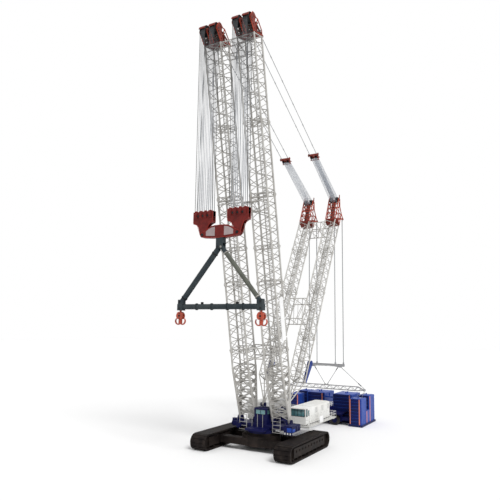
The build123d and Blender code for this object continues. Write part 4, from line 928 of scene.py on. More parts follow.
# The mast heads: red openwork of steel plates and bent pipes, with antlers that keep the
# ropes on the grooved sheaves and a rear arm from which the pendants hang.
MAST_SHEAVE = (0.141, 4.74)
MAST_SHEAVE_R = 0.062
MAST_PACKS = (-0.058, 0.058)
MAST_REAR = (-0.260, 4.510)
MAST_HEAD_Y = 0.111
MAST_FRAME = (
    # x and z of both ends of each pipe in an outer side frame
    ((0.1265, 4.212), (0.1465, 4.480)), ((0.1465, 4.480), (0.170, 4.700)), ((0.170, 4.700), (0.170, 4.772)),
    ((0.104, 4.780), (0.020, 4.634)), ((0.020, 4.634), (-0.120, 4.554)), ((-0.1265, 4.212), (-0.1265, 4.400)),
    ((-0.1265, 4.400), MAST_REAR), ((-0.120, 4.554), MAST_REAR), ((-0.1265, 4.400), (-0.120, 4.554)),
)
MAST_BRACES = (
    ((-0.1265, 4.225), (0.1400, 4.400)), ((0.1400, 4.400), (-0.1265, 4.450)),
    ((-0.120, 4.500), (0.1465, 4.480)), ((0.1465, 4.480), (0.020, 4.634)),
    ((0.020, 4.634), (0.170, 4.700)), ((0.104, 4.780), (0.165, 4.660)),
)
MAST_ACROSS_PIPES = ((0.1265, 4.400), (0.1465, 4.480), (0.160, 4.620), (-0.1265, 4.440), (-0.120, 4.554),
                     (0.020, 4.634), (-0.200, 4.480))
MAST_DIAGONALS = (
    # x and z of the low and the high end, and how far out they reach
    ((0.130, 4.225), (0.1400, 4.400), MAST_HEAD_Y), ((0.148, 4.490), (0.158, 4.610), MAST_HEAD_Y),
    ((-0.125, 4.225), (-0.125, 4.430), MAST_HEAD_Y), ((-0.130, 4.410), (-0.235, 4.495), 0.100),
)
ANTLER = ((-0.026, 0), (0.026, 0), (0.020, 0.060), (0.034, 0.118), (0.016, 0.124), (-0.012, 0.062))
INNER_PLATE = ((-0.085, 4.210), (0.085, 4.210), (0.118, 4.470), (0.170, 4.700), (0.170, 4.772),
               (0.104, 4.782), (0.060, 4.650), (0.030, 4.470), (-0.010, 4.360), (-0.070, 4.320))
INNER_Y = 0.024

bm = bmesh.new()
for mast_y in MASTS:
    places = [mast_y + pack + (k - 1) * 0.0185 for pack in MAST_PACKS for k in range(3)]
    sheaves(bm, MAST_SHEAVE, MAST_SHEAVE_R, 0.017, places, 0.015, 32)
    pin(bm, (MAST_SHEAVE[0], mast_y, MAST_SHEAVE[1]), 0.124, 0.014, 20)
piece("mast_sheaves_grooved", bm, sheave_black_and_gap_shade, "mast_sheaves", ("mast_sheaves",),
      mast_place, 1e-5)

plates, pipes = bmesh.new(), bmesh.new()
sheave_x, sheave_z = MAST_SHEAVE
rear_x, rear_z = MAST_REAR
for mast_y in MASTS:
    for s in (-1, 1):
        y, inner_y = mast_y + s * MAST_HEAD_Y, mast_y + s * INNER_Y
        pipe_frame(pipes, MAST_FRAME, y, 0.0105)
        pipe_frame(pipes, MAST_BRACES, y, 0.0070)
        upright(plates, [(sheave_x + a, sheave_z + b) for a, b in ANTLER], y, 0.006)
        pin(plates, (sheave_x, y, sheave_z), 0.012, 0.034, 24)
        tube(pipes, (0, mast_y + s * 0.144, 4.214),
             (sheave_x - 0.030, mast_y + s * 0.114, sheave_z - 0.060), 0.0080)
        block(plates, (0, mast_y + s * 0.1275, 4.213), (0.0865, 0.0225, 0.009), 0.002)
        upright(plates, INNER_PLATE, inner_y, 0.005)
        for x, z in ((0.040, 4.290), (0.085, 4.440), (0.128, 4.600)):
            pin(plates, (x, inner_y, z), 0.008, 0.018, 16)
    block(plates, (0, mast_y, 4.212), (0.1265, MAST_HEAD_Y, 0.012), 0.003)
    for x, z in MAST_ACROSS_PIPES:
        pin(pipes, (x, mast_y, z), MAST_HEAD_Y, 0.0085)
    for a in (-1, 1):
        for (low_x, low_z), (high_x, high_z), out in MAST_DIAGONALS:
            tube(pipes, (low_x, mast_y - a * out, low_z), (high_x, mast_y + a * out, high_z), 0.0065)
    for s in (-1, 1):
        pin(plates, (rear_x, mast_y + s * MAST_HEAD_Y, rear_z), 0.008, 0.022, 20)
    pin(plates, (rear_x, mast_y, rear_z), 0.126, 0.009, 16)
piece("mast_head_plates", plates, head_red, "mast", ("mast_heads",), mast_place)
piece("mast_head_pipes", pipes, edge_red, "mast", (), mast_place)


# The stays: slim flat pendant bars of steel from the boom heads, pinned end to end, a
# red-brown pulley block at the end of each pair, and a band of wire ropes from it down
# to the mast head.
ARM_TIP = Vector((0.900494, 0.0, 6.886083))
STAY_TO = Vector((-2.7094, 0.0, 4.8369))
STAY_LONG = 2.770
STAY_BARS = 5
BAR_START, BAR_PITCH = 0.02, 0.52
BAR_Y = 0.074
YOKE_HALF = 0.105
YOKE_PLATES = (-0.078, -0.026, 0.026, 0.078)
YOKE_EDGE = ((0.002, -0.024), (0.002, 0.024), (-0.070, 0.036), (-0.098, 0.024), (-0.098, -0.024),
             (-0.070, -0.036))
PULLEY_R = 0.042
PULLEY_BACK = 0.045
PULLEY_PACKS = (-0.042, 0.042)
BAND_ROPES = 10
BAND_UPPER_STEP, BAND_LOWER_STEP = 0.0122, 0.0162
BAND_ROPE_R = 0.0036
BAND_LOWER_LIFT = 0.056

pendant_grey = weathered("pendant_paint", (0.30, 0.31, 0.32), (0.42, 0.42, 0.41), 0.5, 0.42, 40, 0.1)
stay_band = weathered("stay_rope", (0.42, 0.45, 0.49), (0.22, 0.24, 0.28), 0.5, 0.45, 90, 0.4, 0.2)
along = (ARM_TIP - STAY_TO).normalized()
lift = along.cross(Vector((0, 1, 0)))
stay_place = Matrix.Translation(ARM_TIP) @ Matrix((along, (0, 1, 0), lift)).transposed().to_4x4()
yoke = -STAY_LONG
pulley = yoke - PULLEY_BACK
bars, blocks, wheels, bands = bmesh.new(), bmesh.new(), bmesh.new(), bmesh.new()
for side in (-1, 1):
    middle = side * BOOM_Y
    for s in (-1, 1):
        y = middle + s * BAR_Y
        slab(bars, (yoke + BAR_START, y - 0.0035, -0.007), (-0.014, y + 0.0035, 0.007), 0.001)
        for k in range(STAY_BARS):
            block(bars, (yoke + BAR_START + (k + 0.5) * BAR_PITCH, y, 0), (0.022, 0.0062, 0.009), 0.002)
        pin(bars, (0, y, 0), 0.005, 0.018, 24)
        block(blocks, (yoke + 0.015, middle + s * (YOKE_HALF - 0.003), 0), (0.021, 0.009, 0.026), 0.003)
    block(blocks, (yoke + 0.015, middle, 0), (0.015, YOKE_HALF, 0.018), 0.003)
    for y in YOKE_PLATES:
        upright(blocks, [(yoke + x, z) for x, z in YOKE_EDGE], middle + y, 0.004)
    for z in (-0.035, 0.035):
        block(blocks, (yoke - 0.097, middle, z), (0.007, YOKE_HALF - 0.008, 0.005), 0.002)
    pin(blocks, (pulley, middle, 0), 0.088, 0.012, 16)
    places = [middle + pack + (k - 1) * 0.0135 for pack in PULLEY_PACKS for k in range(3)]
    sheaves(wheels, (pulley, 0), PULLEY_R, 0.0125, places, 0.011, 28)
    for k in range(BAND_ROPES):
        place = k - (BAND_ROPES - 1) / 2
        upper = ARM_TIP + along * pulley + Vector((0, middle + place * BAND_UPPER_STEP, 0))
        lower = STAY_TO + Vector((0, side * MAST_Y + place * BAND_LOWER_STEP, 0))
        for s in (-1, 1):
            tube(bands, upper + lift * s * (PULLEY_R - 0.004), lower + lift * s * BAND_LOWER_LIFT,
                 BAND_ROPE_R, 5)
piece("stay_bars", bars, pendant_grey, "boom_stays", ("boom_stays",), stay_place)
piece("stay_blocks", blocks, head_red, "boom_stays", (), stay_place)
piece("stay_sheaves", wheels, sheave_black_and_gap_shade, "boom_stays", (), stay_place, 1e-5)
piece("stay_ropes", bands, stay_band, "boom_stays")


# The lower truss: a lattice beam of light steel tube over the ballast, tapered at both
# ends to a solid tip that the outer hangers and the chains share.
HANG_X = -2.9483
TRUSS_LOW, TRUSS_HIGH = 0.71, 0.79
TRUSS_DEEP = 0.07
TAPER_Y, TIP_Y, TIP_Z = 0.716, 0.860, 0.726
TAPER_CHORD, TAPER_LACE = 0.0068, 0.0042

beam_grey = weathered("beam_paint", (0.36, 0.36, 0.37), (0.20, 0.20, 0.20), 0.55, 0.42, 30, 0.1)
bm = bmesh.new()
cross_truss(bm, TAPER_Y, TRUSS_LOW, TRUSS_HIGH, TRUSS_DEEP, 18, TAPER_CHORD, TAPER_LACE, HANG_X)
for s in (-1, 1):
    for x in (-1, 1):
        for z in (TRUSS_LOW, TRUSS_HIGH):
            tube(bm, (HANG_X + x * 0.035, s * (TAPER_Y - 0.002), z), (HANG_X + x * 0.012, s * TIP_Y, TIP_Z),
                 TAPER_CHORD)
        pipe_run(bm, [(HANG_X + x * 0.035, s * TAPER_Y, TRUSS_LOW), (HANG_X + x * 0.024, s * 0.79, 0.752),
                      (HANG_X + x * 0.020, s * 0.81, 0.720)], TAPER_LACE, 6)
    block(bm, (HANG_X, s * TIP_Y, TIP_Z), (0.028, 0.020, 0.016), 0.004)
    for y in (s * 0.025, s * 0.034):
        tube(bm, (HANG_X - 0.036, y, TRUSS_HIGH - 0.002), (HANG_X + 0.036, y, TRUSS_HIGH - 0.002), 0.008)
piece("lower_truss_lattice", bm, beam_grey, "suspension", ("lower_truss",))


# The bow beam behind the masts: a pale welded girder with flanges and web stiffeners,
# hung by lugs from four flat pendant bars.
BEAM_HALF = 0.419
BEAM_RIBS = 9
BEAM_LUGS = (0.399, 0.215, -0.215, -0.399)

repaint("back_pendants", pendant_grey)
repaint("bow_beam", beam_grey)
bm = bmesh.new()
for z in (1.1955, 1.2445):
    block(bm, (HANG_X, 0, z), (0.030, BEAM_HALF, 0.0025), 0.001)
for k in range(BEAM_RIBS):
    y = -0.40 + k * 0.10
    for x in (-1, 1):
        block(bm, (HANG_X + x * 0.0265, y, 1.220), (0.0015, 0.004, 0.022), 0.0005)
for y in BEAM_LUGS:
    block(bm, (HANG_X, y, 1.2625), (0.016, 0.014, 0.0225), 0.003)
piece("bow_beam_flanges", bm, beam_grey, "suspension")


# The turnbuckles of the light stays between the bow beam and the lower truss: dark
# forged sleeves with a nut at each end, screwed onto the bars.
STAY_RUNS = (
    # y and z of the upper and of the lower end, and the turnbuckle's place between them
    ((0.337, 1.185), (0.860, 0.750), 0.80),
    ((0.277, 1.185), (0.026, 0.805), 0.12),
)

dark_steel = weathered("dark_steel", (0.060, 0.062, 0.066), (0.16, 0.155, 0.15), 0.5, 0.4, 60, 0.15, 0.4)
bm = bmesh.new()
for s in (-1, 1):
    for near, far, k in STAY_RUNS:
        start, end = (Vector((HANG_X, s * y, z)) for y, z in (near, far))
        run = end - start
        tube(bm, start + run * (k - 0.05), start + run * (k + 0.05), 0.0095, 10)
        for j in (k - 0.05, k + 0.05):
            tube(bm, start + run * (j - 0.008), start + run * (j + 0.008), 0.0125, 10)
piece("hanger_turnbuckles", bm, dark_steel, "suspension")


# The ballast chains: zinc-plated round-link chains from each tip of the lower truss to a
# ring, and from it to the lids of both outer stacks, each link turned across the last.
LINK_LONG = 0.018
LINK_HALF_WIDE, LINK_HALF_LONG, LINK_R = 0.0052, 0.0115, 0.0020
LINK_CORNERS = 8
CHAIN_ENDS = ((-2.948, 0.730, 0.600), (-3.060, 0.760, 0.566))


def chain(bm, start, end):
    """A taut chain of oval links between two points."""
    run = end - start
    count = max(2, round(run.length / LINK_LONG))
    turn = run.to_track_quat("Z", "Y").to_matrix().to_4x4()
    for k in range(count):
        seat = Matrix.Translation(start + run * (k + 0.5) / count) @ turn
        seat = seat @ Matrix.Rotation(math.radians(90 * (k % 2)), 4, "Z")
        turns = [j * math.tau / LINK_CORNERS for j in range(LINK_CORNERS)]
        corners = [seat @ Vector((LINK_HALF_WIDE * math.cos(a), 0, LINK_HALF_LONG * math.sin(a)))
                   for a in turns]
        pipe_run(bm, corners + corners[:1], LINK_R, 5)


chain_yellow = weathered("chain_zinc", (0.46, 0.41, 0.24), (0.25, 0.22, 0.14), 0.6, 0.5, 80, 0.2, 0.3)
bm = bmesh.new()
for s in (-1, 1):
    tip = Vector((HANG_X, s * 0.852, TIP_Z - 0.014))
    ring = tip + Vector((0, -s * 0.012, -0.045))
    chain(bm, tip, ring)
    for x, y, z in CHAIN_ENDS:
        chain(bm, ring, Vector((x, s * y, z)))
piece("ballast_chains", bm, chain_yellow, "suspension")


# The ballast: painted steel castings, eight high, with ribbed fronts painted a navy that is
# darker than the sides as painted shade, bright blue sides with ribs at the corners, thin
# lids with lifting bosses, and salmon warning stripes painted beside the corners.
TRAY_TOP = 0.036
CASTINGS = 8
CASTING_GAP_LOW, CASTING_GAP_HIGH = 0.007, 0.002
STACKS = (
    # low x, high x, inner y, outer y, top
    (-3.680, -3.090, 0.100, 0.520, 0.590),
    (-3.110, -2.762, 0.592, 0.842, 0.560),
    (-3.680, -3.330, 0.592, 0.842, 0.575),
)
NARROW = 0.3
STRIPES = (
    # low x, high x, low y, high y, low z, high z, each thin across one direction
    (-2.7625, -2.7588, 0.593, 0.612, 0.045, 0.552),
    (-2.7625, -2.7588, 0.789, 0.812, 0.045, 0.552),
    (-3.150, -3.112, 0.8414, 0.8440, 0.045, 0.285),
    (-3.375, -3.337, 0.8414, 0.8440, 0.045, 0.568),
)
INNER_STRIPES = (0.466, -0.168)


def sided(bm, s, low, high, edge=0.0):
    """A block on one side of the crane, with y counted outwards from its centreline."""
    y0, y1 = sorted((s * low[1], s * high[1]))
    slab(bm, (low[0], y0, low[2]), (high[0], y1, high[2]), edge)


ballast_bright = weathered("ballast_paint", (0.020, 0.066, 0.36), (0.018, 0.036, 0.17), 0.5, 0.34, 16, 0.1)
# The fronts' navy is painted shade: darker than the sides' blue because the lamp lights the fronts less.
ballast_navy_with_shade = weathered("ballast_front", (0.008, 0.014, 0.105), (0.016, 0.020, 0.060), 0.6, 0.36, 18, 0.1)
tray_navy = weathered("tray_paint", (0.010, 0.013, 0.080), (0.030, 0.030, 0.050), 0.6, 0.45, 22, 0.12)
salmon = weathered("stripe_paint", (0.66, 0.21, 0.13), (0.36, 0.13, 0.09), 0.4, 0.4, 50, 0.08)
for node in ("ballast_inner", "ballast_outer_left", "ballast_outer_right"):
    repaint(node, ballast_bright)
repaint("ballast_trays", tray_navy)
fronts, ribs, lids = bmesh.new(), bmesh.new(), bmesh.new()
for x0, x1, y0, y1, top in STACKS:
    step = (top - TRAY_TOP) / CASTINGS
    columns = 5 if y1 - y0 < NARROW else 8
    for s in (-1, 1):
        low_y, high_y = sorted((s * (y0 + 0.004), s * (y1 - 0.027)))
        for k in range(CASTINGS):
            z0, z1 = TRAY_TOP + k * step + CASTING_GAP_LOW, TRAY_TOP + (k + 1) * step - CASTING_GAP_HIGH
            for low_x, high_x in ((x1, x1 + 0.0012), (x0 - 0.0012, x0)):
                slab(fronts, (low_x, low_y, z0), (high_x, high_y, z1), 0.0004)
            for j in range(columns):
                y = low_y + (j + 0.5) * (high_y - low_y) / columns
                slab(fronts, (x1 + 0.001, y - 0.0035, z0), (x1 + 0.0028, y + 0.0035, z1), 0.0008)
            for x in (x0 + 0.05, x1 - 0.05):
                for inner, outer in ((y0 - 0.0014, y0), (y1, y1 + 0.0014)):
                    sided(ribs, s, (x - 0.020, inner, z0), (x + 0.020, outer, z1), 0.0005)
        sided(lids, s, (x0 + 0.012, y0 + 0.012, top - 0.001), (x1 - 0.012, y1 - 0.012, top + 0.0018), 0.001)
        for x in (x0 + 0.06, x1 - 0.06):
            for y in (s * (y0 + 0.045), s * (y1 - 0.045)):
                tube(lids, (x, y, top), (x, y, top + 0.008), 0.016, 16)
piece("ballast_fronts", fronts, ballast_navy_with_shade, "superstructure")
piece("ballast_side_ribs", ribs, ballast_bright, "superstructure")
piece("ballast_lids", lids, ballast_bright, "superstructure")
bm = bmesh.new()
for x0, x1, y0, y1, z0, z1 in STRIPES:
    for s in (1, -1):
        sided(bm, s, (x0, y0, z0), (x1, y1, z1))
for y in INNER_STRIPES:
    slab(bm, (-3.0905, y, 0.045), (-3.0868, y + 0.021, 0.582))
piece("ballast_stripes", bm, salmon, "superstructure")


# The superlift carrier: a welded steel deck on one cross axle beam, with four wheels with
# solid rubber tyres set across, so that it rolls round the crane, and a guide frame back
# to the platform. Each wheel has a painted hub with ten nuts and a lugged tread.
WHEEL_R = 0.105
WHEEL_WIDE = 0.074
WHEELS = (("front_left", -2.75, 0.27), ("front_right", -2.75, -0.27), ("rear_left", -2.95, 0.27),
          ("rear_right", -2.95, -0.27))
TREAD_LUGS = 28
TREAD_LUG = (0.028, 0.0085, 0.004)
TREAD_SLANT = 0.35
NUTS = 10
NUT_CIRCLE = 0.041

tyre_black = weathered("tyre_rubber", (0.018, 0.018, 0.019), (0.090, 0.082, 0.070), 0.5, 0.72, 60, 0.3)
repaint("carrier", navy)
for name, x, y in WHEELS:
    node = "wheel_" + name
    repaint(node, tyre_black)
    bm = bmesh.new()
    for k in range(TREAD_LUGS):
        for s in (-1, 1):
            turn = Matrix.Rotation(k * math.tau / TREAD_LUGS + s * 0.05, 4, "X")
            seat = (Matrix.Translation((x, y, WHEEL_R)) @ turn
                    @ Matrix.Translation((s * 0.017, 0, WHEEL_R - 0.0023)))
            bmesh.ops.create_cube(bm, size=1, matrix=seat @ Matrix.Rotation(s * TREAD_SLANT, 4, "Z")
                                  @ Matrix.Diagonal((*TREAD_LUG, 1)))
    piece(node + "_tread", bm, tyre_black, node)
    bm = bmesh.new()
    for s in (-1, 1):
        face = x + s * (WHEEL_WIDE / 2 - 0.010)
        tube(bm, (face - s * 0.004, y, WHEEL_R), (face + s * 0.003, y, WHEEL_R), 0.056, 32)
        tube(bm, (face, y, WHEEL_R), (face + s * 0.009, y, WHEEL_R), 0.026, 20)
        for k in range(NUTS):
            a = k * math.tau / NUTS
            nut_y, nut_z = y + NUT_CIRCLE * math.cos(a), WHEEL_R + NUT_CIRCLE * math.sin(a)
            tube(bm, (face + s * 0.003, nut_y, nut_z), (face + s * 0.007, nut_y, nut_z), 0.0042, 6)
    piece(node + "_hub", bm, navy, node)


# The crawlers: cast steel shoes with two raised grousers whose tips are worn bright and
# painted lighter still as a painted highlight, pinned lugs on the inside, and a box frame
# with lightening holes along its side. Dust has settled on them in patches.
TRACK_GAUGE = 1.54
TRACK_HIGH = 0.26
TRACK_LONG = 1.60
SHOES_PER_RUN = 19
SHOES_PER_END = 6
GROUSER_X = (-0.019, 0.019)
GROUSER = (0.0085, 0.084, 0.007)
LUG = (0.044, 0.014, 0.009)
WORN_HIGHLIGHT_TIP = (0.010, 0.0050, 0.0080)
FRAME_HOLES = 10
FRAME_HOLE_STEP, FRAME_HOLE_R, FRAME_HOLE_Z = 0.115, 0.0205, 0.150
FRAME_FACE = 0.104

track_brown = weathered("track_cast", (0.007, 0.005, 0.005), (0.046, 0.036, 0.031), 0.7, 0.62, 40, 0.35, 0.2)
frame_brown = weathered("frame_paint", (0.007, 0.005, 0.0045), (0.044, 0.032, 0.027), 0.6, 0.55, 24, 0.15)
worn_steel_and_highlight = weathered("worn_steel_and_highlight", (0.115, 0.100, 0.090), (0.035, 0.028, 0.024), 0.8, 0.42, 70, 0.2, 0.4)
hole_black = weathered("hole_shadow", (0.004, 0.004, 0.004), (0.012, 0.011, 0.010), 0.3, 0.9, 30, 0.0)


def shoe_seats(centre_y):
    """The place of each shoe of one track, on its top run, its bottom run and round both ends."""
    run, mid = TRACK_LONG - TRACK_HIGH, TRACK_HIGH / 2
    seats = []
    for k in range(SHOES_PER_RUN):
        x = -run / 2 + (k + 0.5) * run / SHOES_PER_RUN
        seats.append(Matrix.Translation((x, centre_y, TRACK_HIGH - 0.004)))
        seats.append(Matrix.Translation((x, centre_y, 0.004)) @ Matrix.Rotation(math.pi, 4, "X"))
    for k in range(SHOES_PER_END):
        a = math.radians(-90 + (k + 0.5) * 180 / SHOES_PER_END)
        for end in (-1, 1):
            turn = Matrix.Rotation(end * (math.pi / 2 - a), 4, "Y")
            seats.append(Matrix.Translation((end * run / 2, centre_y, mid)) @ turn
                         @ Matrix.Translation((0, 0, mid - 0.0065)))
    return seats


def cube_on(bm, seat, middle, size):
    """A small cast block on a shoe."""
    bmesh.ops.create_cube(bm, size=1, matrix=seat @ Matrix.Translation(middle) @ Matrix.Diagonal((*size, 1)))


repaint("carbody", frame_brown)
for side, s in SIDES:
    repaint("track_" + side, track_brown)
    repaint("crawler_frame_" + side, frame_brown)
    centre_y = s * TRACK_GAUGE / 2
    shoes, tips, holes = bmesh.new(), bmesh.new(), bmesh.new()
    for seat in shoe_seats(centre_y):
        for x in GROUSER_X:
            for y in (-0.092, 0.092):
                cube_on(shoes, seat, (x, y, 0.0005), GROUSER)
            # The grouser tips: worn steel, painted lighter still as a painted highlight along the track's
            # side.
            for y in (-0.1370, 0.1370):
                cube_on(tips, seat, (x, y, -0.0035), WORN_HIGHLIGHT_TIP)
        for y in (-0.032, 0.032):
            cube_on(shoes, seat, (0, y, -0.001), LUG)
    for k in range(FRAME_HOLES):
        x = (k - (FRAME_HOLES - 1) / 2) * FRAME_HOLE_STEP
        pin(holes, (x, centre_y + s * FRAME_FACE, FRAME_HOLE_Z), 0.001, FRAME_HOLE_R, 20)
    piece(f"track_{side}_grousers", shoes, track_brown, "undercarriage")
    piece(f"track_{side}_worn_highlight_tips", tips, worn_steel_and_highlight, "undercarriage")
    piece(f"crawler_{side}_holes", holes, hole_black, "undercarriage")


# The carbody between the crawlers: a round hub of thick plate under the slewing ring,
# bolted all round and ribbed, with cross beams pinned to the crawler frames.
RING_BOLTS, RING_BOLT_CIRCLE = 48, 0.247
HUB_RIBS, HUB_RIB_IN, HUB_RIB_OUT = 24, 0.262, 0.322
BEAM_X, BEAM_Y = 0.25, 0.60

bm = bmesh.new()
for k in range(RING_BOLTS):
    a = k * math.tau / RING_BOLTS
    x, y = RING_BOLT_CIRCLE * math.cos(a), RING_BOLT_CIRCLE * math.sin(a)
    tube(bm, (x, y, 0.236), (x, y, 0.242), 0.006, 6)
for k in range(HUB_RIBS):
    a = k * math.tau / HUB_RIBS
    tube(bm, (HUB_RIB_IN * math.cos(a), HUB_RIB_IN * math.sin(a), 0.240),
         (HUB_RIB_OUT * math.cos(a), HUB_RIB_OUT * math.sin(a), 0.237), 0.0045, 5)
for sx in (-1, 1):
    for sy in (-1, 1):
        x, y = sx * BEAM_X, sy * BEAM_Y
        block(bm, (x, y, 0.142), (0.078, 0.012, 0.054), 0.003)
        for step in (-0.045, 0.045):
            tube(bm, (x + step, y, 0.194), (x + step, y, 0.206), 0.014, 16)
        block(bm, (x, y - sy * 0.16, 0.1965), (0.040, 0.050, 0.0025), 0.001)
piece("carbody_fittings", bm, frame_brown, "undercarriage")


# The slewing platform: navy girders and beams of welded plate under a deck, ribbed
# outside, with eye bosses and stops at the forks for the feet of booms and masts.
GIRDER_RIBS, GIRDER_RIB_FROM, GIRDER_RIB_STEP = 14, -1.56, 0.095
GIRDER_WEBS = (0.181, 0.299)
FORK_STOPS = ((-0.150, -0.130), (-0.070, -0.050))
FRONT_PADS = (-0.42, -0.22, 0.22, 0.42)

repaint("platform", navy)
bm = bmesh.new()
for s in (-1, 1):
    for y in GIRDER_WEBS:
        for k in range(GIRDER_RIBS):
            block(bm, (GIRDER_RIB_FROM + k * GIRDER_RIB_STEP, s * y, 0.371), (0.004, 0.003, 0.053))
    sided(bm, s, (-1.60, 0.176, 0.427), (-0.24, 0.304, 0.433), 0.001)
for boom_y in BOOMS:
    for lug in (-1, 1):
        y = boom_y + lug * BOOM_ACROSS / 2
        for face in (-1, 1):
            tube(bm, (BOOM_FOOT.x, y + face * 0.036, BOOM_FOOT.z),
                 (BOOM_FOOT.x, y + face * 0.047, BOOM_FOOT.z), 0.030, 20)
            for x0, x1 in FORK_STOPS:
                stop_y = y + face * 0.0385
                slab(bm, (x0, stop_y - 0.003, 0.400), (x1, stop_y + 0.003, 0.455), 0.001)
    s = 1 if boom_y > 0 else -1
    tube(bm, (MAST_FOOT.x, s * 0.28, MAST_FOOT.z), (MAST_FOOT.x, s * 0.292, MAST_FOOT.z), 0.026, 20)
for y in FRONT_PADS:
    slab(bm, (0.0598, y - 0.05, 0.340), (0.0640, y + 0.05, 0.392), 0.0015)
piece("platform_ribs", bm, navy, "superstructure")


# The cabinet at the platform's left front corner: a steel box with bright blue door
# panels, a navy lid with two straps, and a row of pale warning blocks painted below.
CABINET_OUT = 0.6898
SIDE_BLOCKS, FRONT_BLOCKS = 7, 3

cabinet_grey = weathered("cabinet_paint", (0.62, 0.62, 0.60), (0.40, 0.39, 0.36), 0.4, 0.4, 30, 0.08)
bm = bmesh.new()
slab(bm, (0.150, CABINET_OUT, 0.362), (0.252, 0.6935, 0.410), 0.001)
slab(bm, (0.2598, 0.600, 0.362), (0.2640, 0.680, 0.428), 0.001)
piece("cabinet_panels", bm, ballast_bright, "superstructure")
bm = bmesh.new()
slab(bm, (-0.055, 0.545, 0.4498), (0.255, 0.685, 0.4540), 0.001)
for x in (0.00, 0.08):
    slab(bm, (x - 0.032, CABINET_OUT, 0.365), (x + 0.032, 0.6935, 0.442), 0.001)
piece("cabinet_lid", bm, navy, "superstructure")
bm = bmesh.new()
for k in range(SIDE_BLOCKS):
    x = -0.040 + k * 0.044
    slab(bm, (x, 0.6900, 0.322), (x + 0.020, 0.6930, 0.352))
for k in range(FRONT_BLOCKS):
    y = 0.552 + k * 0.048
    slab(bm, (0.2600, y, 0.322), (0.2630, y + 0.022, 0.352))
piece("cabinet_warning_blocks", bm, cabinet_grey, "superstructure")


# The rails and ladders of the platform: white tube rails with a knee rail along the
# right girder, and grey tube ladders with flat treads at the front, bracketed to it.
RAIL_R = 0.0028
KNEE_RAIL = 0.52
LADDER_X = 0.085
LADDER_HALF = 0.070
TREADS = (0.292, 0.352, 0.412, 0.472, 0.532)


def railing(bm, points, high, post_step=0.11):
    """A handrail with a knee rail and posts along a run of points at floor level."""
    for a, b in zip(points, points[1:]):
        a, b = Vector(a), Vector(b)
        for rise in (Vector((0, 0, high)), Vector((0, 0, high * KNEE_RAIL))):
            tube(bm, a + rise, b + rise, RAIL_R, 6)
        count = max(1, round((b - a).length / post_step))
        for k in range(count + 1):
            foot = a.lerp(b, k / count)
            tube(bm, foot, foot + Vector((0, 0, high)), RAIL_R, 6)


rail_white = weathered("rail_paint", (0.78, 0.78, 0.76), (0.50, 0.48, 0.45), 0.3, 0.4, 40, 0.05)
stair_grey = weathered("stair_paint", (0.34, 0.33, 0.32), (0.18, 0.17, 0.15), 0.5, 0.5, 40, 0.1)
bm = bmesh.new()
railing(bm, [(-1.60, -0.295, 0.433), (-0.62, -0.295, 0.433)], 0.09)
piece("platform_rails", bm, rail_white, "superstructure")
bm = bmesh.new()
for boom_y in BOOMS:
    for s in (-1, 1):
        y = boom_y + s * LADDER_HALF
        tube(bm, (LADDER_X, y, 0.285), (LADDER_X, y, 0.545), 0.0055)
        tube(bm, (LADDER_X, y, 0.400), (0.056, y, 0.400), 0.0045, 6)
    for z in TREADS:
        block(bm, (LADDER_X, boom_y, z), (0.007, LADDER_HALF, 0.004), 0.0015)
slab(bm, (0.058, -0.235, 0.300), (0.072, -0.075, 0.326), 0.003)
for y in (-0.155, -0.050, 0.050):
    tube(bm, (0.066, y, 0.318), (0.066, y, 0.560), 0.0048)
piece("platform_ladders", bm, stair_grey, "superstructure")


# The drum at the platform's right front: a rolled steel cylinder with three bands.
# Its ends are welded discs, and it is painted navy like the girders.
DRUM_Y, DRUM_FRONT_Z = -0.385, 0.352
DRUM_BANDS = (0.062, 0.104, 0.146)

bm = bmesh.new()
tube(bm, (0.056, DRUM_Y, DRUM_FRONT_Z), (0.150, DRUM_Y, DRUM_FRONT_Z), 0.036, 28)
for x in DRUM_BANDS:
    tube(bm, (x - 0.003, DRUM_Y, DRUM_FRONT_Z), (x + 0.003, DRUM_Y, DRUM_FRONT_Z), 0.039, 28)
piece("platform_drum", bm, navy, "superstructure")


# The four winches in the trough: grooved drums wound with wire rope between round
# flanges with a bolt circle, on welded pedestals, and driven from one side.
WINCHES = (-0.52, -0.80, -1.08, -1.36)
DRUM_R = 0.062
DRUM_Z = 0.47
ROPE_TURNS = 26
ROPE_LAYERS = 0.018
WOUND_WIDE = 0.226
FLANGE_BOLT_CIRCLE = 0.075

repaint("winches", navy)
rope, flanges = bmesh.new(), bmesh.new()
for x in WINCHES:
    for k in range(ROPE_TURNS):
        y = -WOUND_WIDE / 2 + (k + 0.5) * WOUND_WIDE / ROPE_TURNS
        seat = Matrix.Translation((x, y, DRUM_Z)) @ Matrix.Rotation(math.pi / 2, 4, "X")
        turn = bmesh.ops.create_cone(rope, cap_ends=False, segments=24, radius1=DRUM_R + ROPE_LAYERS,
                                     radius2=DRUM_R + ROPE_LAYERS, depth=0.0042, matrix=seat)
        faces = list({f for v in turn["verts"] for f in v.link_faces})
        bmesh.ops.inset_region(rope, faces=faces, thickness=0.0016, depth=0.0018, use_even_offset=True)
    for s in (-1, 1):
        pin(flanges, (x, s * 0.1355, DRUM_Z), 0.0015, 0.086, 32)
        pin(flanges, (x, s * 0.1775, DRUM_Z), 0.0035, 0.024, 20)
        for k in range(FLANGE_BOLTS):
            a = k * math.tau / FLANGE_BOLTS
            bolt_x, bolt_z = x + FLANGE_BOLT_CIRCLE * math.cos(a), DRUM_Z + FLANGE_BOLT_CIRCLE * math.sin(a)
            pin(flanges, (bolt_x, s * 0.138, bolt_z), 0.002, 0.004, 6)
piece("winch_rope", rope, wire_rope, "superstructure")
piece("winch_flanges", flanges, navy, "superstructure")


# The centre cabin between the boom feet: navy steel panels with teal glass in rubber
# seals, a roof sheet over them with two low hatches, and three panels below the window.
CABIN_SILL, CABIN_LINTEL = 0.556, 0.636
CABIN_PANE = (0.5615, 0.6305)
SEAL_WIDE = 0.005
CABIN_HALF = 0.094

